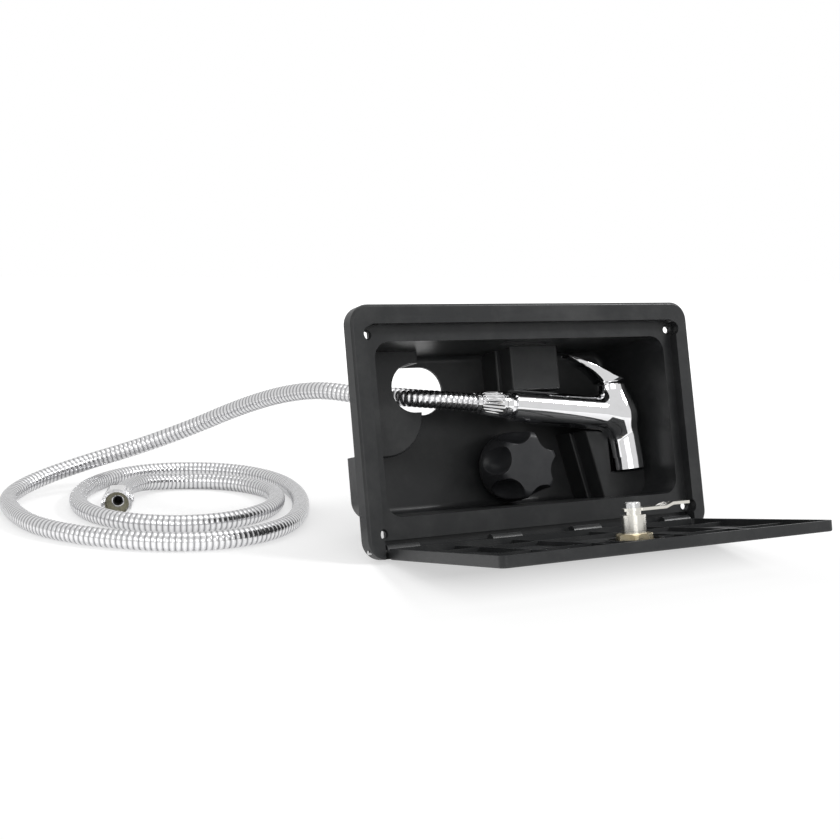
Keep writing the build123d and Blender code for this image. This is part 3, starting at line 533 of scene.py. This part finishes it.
CUT_SPARE_MM = 8.0
SPOUT_SPARE_MM = 10.0
BARREL_TAIL_MM = BARREL_START_MM - BARREL_DIRECTION * CUT_SPARE_MM
BARREL_HEAD_MM = ELBOW_MM - BARREL_DIRECTION * BARREL_SHORT_OF_ELBOW_MM
SPOUT_HEAD_MM = ELBOW_MM - BARREL_DIRECTION * SPOUT_BACK_FROM_ELBOW_MM
SPOUT_TAIL_MM = ELBOW_MM + SPOUT_DIRECTION * (SPOUT_LENGTH_MM + SPOUT_SPARE_MM)
COLUMN_FOOT_MM = np.array((COLUMN_X_MM + COLUMN_FOOT_SHIFT_MM, HANDSET_Y_MM, ELBOW_MM[2]))
COLUMN_HEAD_MM = np.array((COLUMN_X_MM + COLUMN_HEAD_SHIFT_MM, HANDSET_Y_MM, COLUMN_TOP_MM + CUT_SPARE_MM))
BLEND_MM = 10.0
CASTING_GRAIN_MM = 0.9
DRAW_ROUNDS = 6
SLOPE_STEP_MM = 0.02
FLAT_END_LIMIT = 0.9


def round_bar_distance(points, start, end, start_radius, end_radius):
    """How far each point is outside a bar with round ends and two radii."""
    along = end - start
    share = np.clip(((points - start) @ along) / (along @ along), 0.0, 1.0)
    middle = start + share[:, None] * along
    radius = start_radius + share * (end_radius - start_radius)
    return np.linalg.norm(points - middle, axis=1) - radius


def soft_union(first, second, width):
    """The nearer of two distances, with the corner between them filled over a width."""
    share = np.clip(0.5 + 0.5 * (second - first) / width, 0.0, 1.0)
    return second * (1 - share) + first * share - width * share * (1 - share)


def handset_distance(points):
    """How far each point is outside the cast body, where its three bars run together."""
    barrel = round_bar_distance(points, BARREL_TAIL_MM, BARREL_HEAD_MM, *BARREL_RADII_MM)
    spout = round_bar_distance(points, SPOUT_HEAD_MM, SPOUT_TAIL_MM, *SPOUT_RADII_MM)
    column = round_bar_distance(points, COLUMN_FOOT_MM, COLUMN_HEAD_MM, *COLUMN_RADII_MM)
    return soft_union(soft_union(barrel, spout, BLEND_MM), column, BLEND_MM)


def handset_slope(points):
    """The direction straight out of the cast body at each point."""
    slope = np.zeros_like(points)
    for axis in range(3):
        nudge = np.zeros(3)
        nudge[axis] = SLOPE_STEP_MM
        slope[:, axis] = handset_distance(points + nudge) - handset_distance(points - nudge)
    return slope / np.maximum(np.linalg.norm(slope, axis=1), 1e-9)[:, None]


def polish(mesh, points):
    """Shades each corner by the body's own slope. The flat ends keep their own."""
    slope = handset_slope(points)
    origin = row(0, 0, 0)
    directions = [(row(*normal) - origin).normalized() for normal in slope]
    shading = []
    for face in mesh.polygons:
        own = sum((directions[index] for index in face.vertices), Vector()).normalized()
        flat = own.dot(face.normal) < FLAT_END_LIMIT
        shading += [face.normal.copy() if flat else directions[index] for index in face.vertices]
    mesh.normals_split_custom_set(shading)


def add_bar(shape, start, end, start_radius, end_radius):
    """Adds a tapering bar with flat ends, in millimetres, to a bmesh."""
    along = Vector(end) - Vector(start)
    turn = along.to_track_quat("Z", "Y").to_matrix().to_4x4()
    place = Matrix.Translation((Vector(start) + Vector(end)) / 2) @ turn
    bmesh.ops.create_cone(
        shape,
        cap_ends=True,
        segments=48,
        radius1=start_radius,
        radius2=end_radius,
        depth=along.length,
        matrix=place,
    )


def add_ball(shape, place, radius):
    ball = Matrix.Translation(place)
    bmesh.ops.create_uvsphere(shape, u_segments=32, v_segments=24, radius=radius, matrix=ball)


def rough_casting():
    """The three bars with balls at the elbow, joined and remeshed evenly, in millimetres."""
    shape = bmesh.new()
    add_bar(shape, BARREL_TAIL_MM, BARREL_HEAD_MM, *BARREL_RADII_MM)
    add_bar(shape, SPOUT_HEAD_MM, SPOUT_TAIL_MM, *SPOUT_RADII_MM)
    add_bar(shape, COLUMN_FOOT_MM, COLUMN_HEAD_MM, *COLUMN_RADII_MM)
    add_ball(shape, BARREL_HEAD_MM, BARREL_RADII_MM[1])
    add_ball(shape, SPOUT_HEAD_MM, SPOUT_RADII_MM[0])
    mesh = bpy.data.meshes.new("handset_casting")
    shape.to_mesh(mesh)
    shape.free()
    body = put("handset_casting", mesh)
    remesh = body.modifiers.new("remesh", "REMESH")
    remesh.mode = "VOXEL"
    remesh.voxel_size = CASTING_GRAIN_MM
    return settle(body)


def draw_smooth(mesh):
    """Moves each point of the rough casting onto the smooth surface."""
    points = np.zeros(len(mesh.vertices) * 3)
    mesh.vertices.foreach_get("co", points)
    points = points.reshape(-1, 3)
    for _ in range(DRAW_ROUNDS):
        points -= handset_slope(points) * handset_distance(points)[:, None]
    mesh.vertices.foreach_set("co", points.ravel())


def cut_ends(shape):
    """Cuts the barrel, the spout and the column flat and closes the cuts."""
    cuts = (
        (BARREL_START_MM, -BARREL_DIRECTION),
        (ELBOW_MM + SPOUT_DIRECTION * SPOUT_LENGTH_MM, SPOUT_DIRECTION),
        (np.array((COLUMN_X_MM, HANDSET_Y_MM, COLUMN_TOP_MM)), np.array((0.0, 0.0, 1.0))),
    )
    for place, direction in cuts:
        everything = shape.verts[:] + shape.edges[:] + shape.faces[:]
        keys = {"plane_co": Vector(place), "plane_no": Vector(direction), "clear_outer": True}
        cut = bmesh.ops.bisect_plane(shape, geom=everything, **keys)
        rim = [item for item in cut["geom_cut"] if isinstance(item, bmesh.types.BMEdge)]
        bmesh.ops.edgeloop_fill(shape, edges=rim)
    bmesh.ops.recalc_face_normals(shape, faces=shape.faces)


def make_handset():
    """The cast body: a rough union, drawn onto the smooth surface and cut flat at its ends."""
    body = rough_casting()
    mesh = body.data
    draw_smooth(mesh)
    shape = bmesh.new()
    shape.from_mesh(mesh)
    cut_ends(shape)
    points = np.array([tuple(vertex.co) for vertex in shape.verts])
    for vertex in shape.verts:
        vertex.co = row(*vertex.co)
    shape.to_mesh(mesh)
    shape.free()
    sharpen(smooth(mesh), 50)
    polish(mesh, points)
    dress(body, "chrome_plate")
    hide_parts("handset_body")
    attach(body, "box")
    return body


# Lever: a bent blade, its top and its underside as side outlines from the tip to the rear
LEVER_PIVOT_MM = (239.5, 124.0)
LEVER_TOP_MM = [
    (204.6, 144.9),
    (209.0, 143.6),
    (214.0, 142.1),
    (219.0, 140.4),
    (224.0, 138.4),
    (229.8, 135.8),
    (235.4, 133.0),
    (240.0, 130.9),
    (244.0, 128.8),
    (248.2, 127.1),
    (252.0, 125.6),
    (255.6, 124.0),
]
LEVER_UNDER_MM = [
    (205.0, 143.6),
    (207.0, 142.0),
    (211.2, 139.6),
    (215.6, 136.9),
    (220.0, 134.5),
    (224.2, 132.0),
    (227.4, 129.6),
    (230.3, 127.0),
    (233.2, 123.9),
    (235.5, 121.2),
    (246.0, 121.2),
    (255.0, 123.1),
]
LEVER_TIP_X_MM = 204.6
LEVER_REAR_X_MM = 255.7
LEVER_HALF_WIDTH_MM = 8.4
LEVER_TIP_HALF_MM = 6.8
LEVER_TAPER_START_MM = 207.5
LEVER_TAPER_LENGTH_MM = 23.0
LEVER_TIP_CORNER_MM = (3.0, 3.0)
LEVER_REAR_CORNER_MM = (6.0, 2.8)
LEVER_CROWN_STEPS = 14
LEVER_CROWN_MM = 2.0
LEVER_CROWN_SHARE = 0.6
LEVER_CROWN_POWER = 0.55
LEVER_LOW_EDGE_MM = 0.5
LEVER_LOW_EDGE_SHARE = 0.2
LEVER_UNDER_SHARES = (1.0, 0.94, -0.94, -1.0)
LEVER_SLOT_MM = (7.8, 8.6, 8.8)
LEVER_SLOT_DROP_MM = 1.7


def corner_loss(distance, corner):
    """How much a rounded corner takes off the half width at a distance from the lever's end."""
    length, width = corner
    share = min(max(distance / length, 0.0), 1.0)
    return width * (1 - math.sqrt(share * (2 - share)))


def lever_half_width(x):
    """The lever is widest over its pivot, narrows to its tip and is rounded in plan at both ends."""
    taper = min(max((x - LEVER_TAPER_START_MM) / LEVER_TAPER_LENGTH_MM, 0.0), 1.0)
    half = LEVER_TIP_HALF_MM + (LEVER_HALF_WIDTH_MM - LEVER_TIP_HALF_MM) * taper
    half -= corner_loss(x - LEVER_TIP_X_MM, LEVER_TIP_CORNER_MM)
    return half - corner_loss(LEVER_REAR_X_MM - x, LEVER_REAR_CORNER_MM)


def lever_ring(top, low):
    """One cross-section of the blade: a crowned top, straight sides and a flat underside."""
    x_top, z_top = top
    x_low, z_low = low
    half = lever_half_width(0.5 * (x_top + x_low))
    crown = min(LEVER_CROWN_MM, LEVER_CROWN_SHARE * (z_top - z_low))
    ring = []
    for step in range(LEVER_CROWN_STEPS + 1):
        angle = math.pi * step / LEVER_CROWN_STEPS
        lift = math.sin(angle) ** LEVER_CROWN_POWER
        ring.append((x_top, HANDSET_Y_MM - half * math.cos(angle), z_top - crown * (1 - lift)))
    low_edge = min(LEVER_LOW_EDGE_MM, LEVER_LOW_EDGE_SHARE * (z_top - z_low))
    for share in LEVER_UNDER_SHARES:
        height = z_low + (low_edge if abs(share) == 1.0 else 0.0)
        ring.append((x_low, HANDSET_Y_MM + half * share, height))
    return [row(*point) for point in ring]


def lever_slot():
    """The room for the pivot lug, under the lever's rear."""
    mesh = bpy.data.meshes.new("lever_slot")
    shape = bmesh.new()
    bmesh.ops.create_cube(shape, size=1.0)
    for vertex in shape.verts:
        x = LEVER_PIVOT_MM[0] + vertex.co.x * LEVER_SLOT_MM[0]
        y = HANDSET_Y_MM + vertex.co.y * LEVER_SLOT_MM[1]
        z = LEVER_PIVOT_MM[1] - LEVER_SLOT_DROP_MM + vertex.co.z * LEVER_SLOT_MM[2]
        vertex.co = row(x, y, z)
    shape.to_mesh(mesh)
    shape.free()
    return put("lever_slot", mesh)


def make_lever():
    """The bent blade, hollowed over its pivot lug."""
    rings = [lever_ring(top, low) for top, low in zip(LEVER_TOP_MM, LEVER_UNDER_MM)]
    lever = put("lever_blade", closed_skin("lever_blade", rings))
    cutter = lever_slot()
    hollow = lever.modifiers.new("slot", "BOOLEAN")
    hollow.operation = "DIFFERENCE"
    hollow.solver = "EXACT"
    hollow.object = cutter
    settle(lever)
    bpy.data.objects.remove(cutter)
    sharpen(smooth(lever.data), 42)
    dress(lever, "chrome_plate")
    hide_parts("handset_lever")
    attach(lever, "lever")
    return lever


# Cone nut between hose and handset
# Distance from the cone's hose end, radius and depth of the flutes there
CONE_LENGTH_MM = 33.2
CONE_FLUTES = 22
POINTS_A_FLUTE = 8
CONE_PROFILE_MM = [
    (0.0, 5.2, 0.0),
    (0.0, 7.2, 0.0),
    (0.5, 7.8, 0.0),
    (2.6, 7.9, 0.0),
    (3.0, 7.3, 0.0),
    (3.7, 7.3, 0.0),
    (4.2, 8.1, 0.0),
    (5.4, 8.5, 0.25),
    (8.0, 8.9, 0.85),
    (14.0, 9.6, 0.95),
    (19.0, 10.1, 0.85),
    (21.6, 10.25, 0.25),
    (22.6, 10.3, 0.0),
    (23.4, 10.3, 0.0),
    (23.8, 9.7, 0.0),
    (24.6, 9.7, 0.0),
    (25.0, 10.3, 0.0),
    (32.4, 10.3, 0.0),
    (33.1, 9.8, 0.0),
    (33.1, 8.4, 0.0),
]


def fluted_ring(start, distance, radius, depth):
    """A ring of points about the barrel's line, with the cone's flutes cut into it."""
    along = Vector(BARREL_DIRECTION).normalized()
    side = Vector((0, 1, 0)).cross(along).normalized()
    other = along.cross(side)
    count = CONE_FLUTES * POINTS_A_FLUTE
    points = []
    for step in range(count):
        angle = 2 * math.pi * step / count
        reach = radius - depth * (0.5 - 0.5 * math.cos(CONE_FLUTES * angle))
        offset = side * math.cos(angle) * reach + other * math.sin(angle) * reach
        points.append(row(*(Vector(start) + along * distance + offset)))
    return points


def make_hose_cone():
    """The fluted conical nut that holds the hose to the handset."""
    start = BARREL_START_MM - BARREL_DIRECTION * CONE_LENGTH_MM
    rings = [fluted_ring(start, *station) for station in CONE_PROFILE_MM]
    mesh = closed_skin("hose_cone_nut", rings)
    cone = put("hose_cone_nut", sharpen(mesh, 40))
    dress(cone, "chrome_plate")
    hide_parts("hose_cone")
    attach(cone, "box")
    return cone


# Knob: a six-lobed grip, its depths measured into the box
KNOB_X_MM = 160.0
KNOB_Z_MM = 60.0
KNOB_FRONT_MM = 36.0
KNOB_WIDE_MM = 66.0
KNOB_BACK_MM = 75.5
KNOB_FRONT_RADIUS_MM = 25.5
KNOB_WIDE_RADIUS_MM = 27.3
KNOB_BACK_RADIUS_MM = 24.0
KNOB_EDGE_MM = 5.0
KNOB_SPINDLE_MM = 10.0
KNOB_LOBES = 6
KNOB_FIRST_LOBE = math.radians(18.0)
KNOB_SCOOP_REACH_MM = 30.6
KNOB_SCOOP_MIDDLE_MM = 41.0
KNOB_SCOOP_ACROSS_MM = 13.0
KNOB_SCOOP_ALONG_MM = 24.0
KNOB_SOFTNESS_MM = 1.5
KNOB_ANGLES = 360
KNOB_FACE_SHARES = (0.04, 0.3, 0.6, 0.85, 0.97)
KNOB_EDGE_STEPS = 10
KNOB_SIDE_STEPS = 40


def knob_barrel(depth):
    """The grip's radius without its scoops: a domed front edge, a swelling side, a drawn-in back."""
    if depth >= KNOB_WIDE_MM:
        share = (depth - KNOB_WIDE_MM) / (KNOB_BACK_MM - KNOB_WIDE_MM)
        return KNOB_WIDE_RADIUS_MM - (KNOB_WIDE_RADIUS_MM - KNOB_BACK_RADIUS_MM) * share**2
    share = max(depth - KNOB_FRONT_MM, 0.0) / (KNOB_WIDE_MM - KNOB_FRONT_MM)
    swell = (KNOB_WIDE_RADIUS_MM - KNOB_FRONT_RADIUS_MM) * math.sin(share * math.pi / 2)
    from_edge = max(KNOB_FRONT_MM + KNOB_EDGE_MM - depth, 0.0) / KNOB_EDGE_MM
    dome = KNOB_EDGE_MM * (1 - math.sqrt(max(1 - from_edge**2, 0.0)))
    return KNOB_FRONT_RADIUS_MM + swell - dome


def knob_outline(angle, depth):
    """The grip's radius, with an egg-shaped finger scoop between each two lobes."""
    barrel = knob_barrel(depth)
    pitch = 2 * math.pi / KNOB_LOBES
    from_valley = (angle - KNOB_FIRST_LOBE) % pitch - pitch / 2
    along = (depth - KNOB_SCOOP_MIDDLE_MM) / KNOB_SCOOP_ALONG_MM
    across = KNOB_SCOOP_REACH_MM * math.sin(from_valley) / KNOB_SCOOP_ACROSS_MM
    inside = 1 - along**2 - across**2
    if inside <= 0:
        return barrel
    scoop = KNOB_SCOOP_REACH_MM * math.cos(from_valley) - KNOB_SCOOP_ACROSS_MM * math.sqrt(inside)
    mix = min(max(0.5 + 0.5 * (scoop - barrel) / KNOB_SOFTNESS_MM, 0.0), 1.0)
    return barrel * mix + scoop * (1 - mix) - KNOB_SOFTNESS_MM * mix * (1 - mix)


def knob_depths():
    """The depths of the grip's rings: close together round its front edge, then even to its back."""
    quarter = math.pi / 2
    turns = [quarter * step / KNOB_EDGE_STEPS for step in range(KNOB_EDGE_STEPS)]
    side_start = KNOB_FRONT_MM + KNOB_EDGE_MM
    side_length = KNOB_BACK_MM - side_start
    side = [side_start + side_length * step / KNOB_SIDE_STEPS for step in range(KNOB_SIDE_STEPS + 1)]
    return [KNOB_FRONT_MM + KNOB_EDGE_MM * (1 - math.cos(turn)) for turn in turns] + side


def make_knob():
    angles = [2 * math.pi * step / KNOB_ANGLES for step in range(KNOB_ANGLES)]
    face = [knob_outline(angle, KNOB_FRONT_MM) for angle in angles]
    outlines = [(KNOB_FRONT_MM, [reach * share for reach in face]) for share in KNOB_FACE_SHARES]
    for depth in knob_depths():
        outlines.append((depth, [knob_outline(angle, depth) for angle in angles]))
    outlines.append((KNOB_BACK_MM, [KNOB_SPINDLE_MM] * KNOB_ANGLES))
    rings = []
    for depth, reaches in outlines:
        ring = []
        for angle, reach in zip(angles, reaches):
            x = KNOB_X_MM + reach * math.cos(angle)
            z = KNOB_Z_MM + reach * math.sin(angle)
            ring.append(row(x, depth, z))
        rings.append(ring)
    mesh = closed_skin("knob_grip", rings)
    knob = put("knob_grip", sharpen(mesh, 55))
    dress(knob, "knob_plastic")
    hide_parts("knob")
    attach(knob, "knob")
    return knob


# Camera
CAMERA_PLACE = (-0.53696, -0.79152, 0.23677)
CAMERA_HEADING = math.radians(-27.896)
CAMERA_PITCH = math.radians(-8.420)
CAMERA_ROLL = math.radians(1.545)
IMAGE_SIZE_PX = 840.0
FOCAL_PX = 1321.67
PRINCIPAL_PX = (417.54, 416.11)
SENSOR_MM = 36.0
NEAREST_SEEN = 0.01
FARTHEST_SEEN = 50.0


def make_camera():
    data = bpy.data.cameras.new("photo_view")
    data.sensor_width = SENSOR_MM
    data.sensor_fit = "HORIZONTAL"
    data.lens = SENSOR_MM * FOCAL_PX / IMAGE_SIZE_PX
    data.shift_x = (IMAGE_SIZE_PX / 2 - PRINCIPAL_PX[0]) / IMAGE_SIZE_PX
    data.shift_y = (PRINCIPAL_PX[1] - IMAGE_SIZE_PX / 2) / IMAGE_SIZE_PX
    data.clip_start = NEAREST_SEEN
    data.clip_end = FARTHEST_SEEN
    camera = put("photo_view", data)
    heading = Matrix.Rotation(CAMERA_HEADING, 4, "Z")
    pitch = Matrix.Rotation(math.pi / 2 + CAMERA_PITCH, 4, "X")
    roll = Matrix.Rotation(CAMERA_ROLL, 4, "Z")
    camera.matrix_world = Matrix.Translation(CAMERA_PLACE) @ heading @ pitch @ roll
    bpy.context.scene.camera = camera
    return camera


# Studio
FLOOR_HALF_SIZE = 4.0
FLOOR_TINT = (0.85, 0.85, 0.85)
# What the camera sees of the floor: its tint takes the shadows and its glow makes up the white.
# In front of the lid nearly all of it is glow, painted light that washes out most of the lid's shadow
# there.
FLOOR_SEEN_TINT = (0.52, 0.52, 0.52)
FLOOR_SEEN_GLOW = 0.555
FLOOR_FRONT_TINT = (0.07, 0.07, 0.07)
FLOOR_FRONT_GLOW = 0.94
FLOOR_FRONT_EDGE_Y = (-0.105, -0.035)
FLOOR_WHITE_FROM = (0.55, 1.5)
# What the metal mirrors of the floor, dimmer to the back and to the right
FLOOR_MIRRORED_GLOW = 0.38
FLOOR_DIM_Y = (0.12, 0.30)
FLOOR_DIM_BACK = 0.25
FLOOR_DIM_X = (-0.05, 0.20)
FLOOR_DIM_RIGHT = 0.3


def floor_finish():
    shade = Shade("studio_floor")
    seen = shade.node("ShaderNodeLightPath", out="Is Camera Ray")
    mirrored = shade.node("ShaderNodeLightPath", out="Is Glossy Ray")
    spot = shade.node("ShaderNodeTexCoord", out="Object")
    away = shade.node("ShaderNodeVectorMath", {"operation": "LENGTH"}, {0: spot}, out="Value")
    right = shade.node("ShaderNodeSeparateXYZ", {}, {0: spot}, out="X")
    deep = shade.node("ShaderNodeSeparateXYZ", {}, {0: spot}, out="Y")
    # Painted light: in front of the lid's edge the seen floor is nearly all glow, so the lid's shadow
    # barely shows
    behind_lid = shade.ramp(deep, *FLOOR_FRONT_EDGE_Y)
    seen_tint = shade.blend(behind_lid, colour(*FLOOR_FRONT_TINT), colour(*FLOOR_SEEN_TINT))
    tint = shade.blend(seen, colour(*FLOOR_TINT), seen_tint)
    close_glow = FLOOR_FRONT_GLOW + behind_lid * (FLOOR_SEEN_GLOW - FLOOR_FRONT_GLOW)
    seen_glow = close_glow + (1 - close_glow) * shade.ramp(away, *FLOOR_WHITE_FROM)
    dim_back = shade.ramp(deep, *FLOOR_DIM_Y, 1.0, FLOOR_DIM_BACK)
    dim_right = shade.ramp(right, *FLOOR_DIM_X, 1.0, FLOOR_DIM_RIGHT)
    glow = seen * seen_glow + mirrored * dim_back * dim_right * FLOOR_MIRRORED_GLOW
    shade.finish(Base_Color=tint, Roughness=0.9, Specular_IOR_Level=0.0, Emission_Strength=1.0)
    return shade.finish(Emission_Color=shade.blend(glow, colour(0, 0, 0), colour(1, 1, 1)))


def make_floor():
    half = FLOOR_HALF_SIZE
    mesh = bpy.data.meshes.new("studio_floor")
    corners = [(-half, -half, 0), (half, -half, 0), (half, half, 0), (-half, half, 0)]
    mesh.from_pydata(corners, [], [(0, 1, 2, 3)])
    mesh.materials.append(floor_finish())
    floor = put("studio_floor", mesh)
    return floor


# The white room round the box: full white to the camera, dimmer to the pieces
WORLD_LIGHT = 0.50
WORLD_MIRRORED_SHARE = 0.55


def make_world():
    world = bpy.data.worlds.new("studio")
    bpy.context.scene.world = world
    world.use_nodes = True
    tree = world.node_tree
    background = tree.nodes["Background"]
    background.inputs["Color"].default_value = (1, 1, 1, 1)
    path = tree.nodes.new("ShaderNodeLightPath")
    seen = tree.nodes.new("ShaderNodeMath")
    seen.operation = "MAXIMUM"
    tree.links.new(path.outputs["Is Camera Ray"], seen.inputs[0])
    tree.links.new(path.outputs["Is Transmission Ray"], seen.inputs[1])
    mirrored = tree.nodes.new("ShaderNodeMath")
    mirrored.operation = "MULTIPLY_ADD"
    mirrored.use_clamp = True
    mirrored.inputs[1].default_value = WORLD_MIRRORED_SHARE
    tree.links.new(path.outputs["Is Glossy Ray"], mirrored.inputs[0])
    tree.links.new(seen.outputs[0], mirrored.inputs[2])
    strength = tree.nodes.new("ShaderNodeMapRange")
    strength.inputs["To Min"].default_value = WORLD_LIGHT
    strength.inputs["To Max"].default_value = 1.0
    tree.links.new(mirrored.outputs[0], strength.inputs["Value"])
    tree.links.new(strength.outputs[0], background.inputs["Strength"])


# Each lamp by its name: place, the point it faces, width and height, power in watts
LAMPS = {
    "key_softbox": ((1.75, -1.15, 1.9), (0, 0, 0.08), (0.6, 0.6), 34),
    "front_softbox": ((-0.7, -2.2, 1.0), (0, 0, 0.08), (1.6, 1.2), 9),
    "left_softbox": ((-1.7, -0.5, 0.9), (0, 0, 0.08), (1.0, 1.0), 4),
    "top_softbox": ((0.1, 0.3, 1.9), (0, 0, 0.05), (1.6, 1.2), 7),
}


def make_lamp(name, place, aim, size, power):
    data = bpy.data.lights.new(name, "AREA")
    data.shape = "RECTANGLE"
    data.size = size[0]
    data.size_y = size[1]
    data.energy = power
    lamp = put(name, data)
    lamp.location = place
    lamp.rotation_euler = (Vector(aim) - Vector(place)).to_track_quat("-Z", "Y").to_euler()
    return lamp


NODE_FINISHES = {entry["node"]: entry["material_slot"] for entry in frame["record"]["subparts"]}
for name, node in nodes.items():
    dress(node, NODE_FINISHES[name])

make_camera()
make_hose()
make_liner()
make_handset()
make_lever()
make_hose_cone()
make_knob()
make_floor()
make_world()
for name, settings in LAMPS.items():
    make_lamp(name, *settings)

scene = bpy.context.scene
scene.view_settings.view_transform = "Standard"
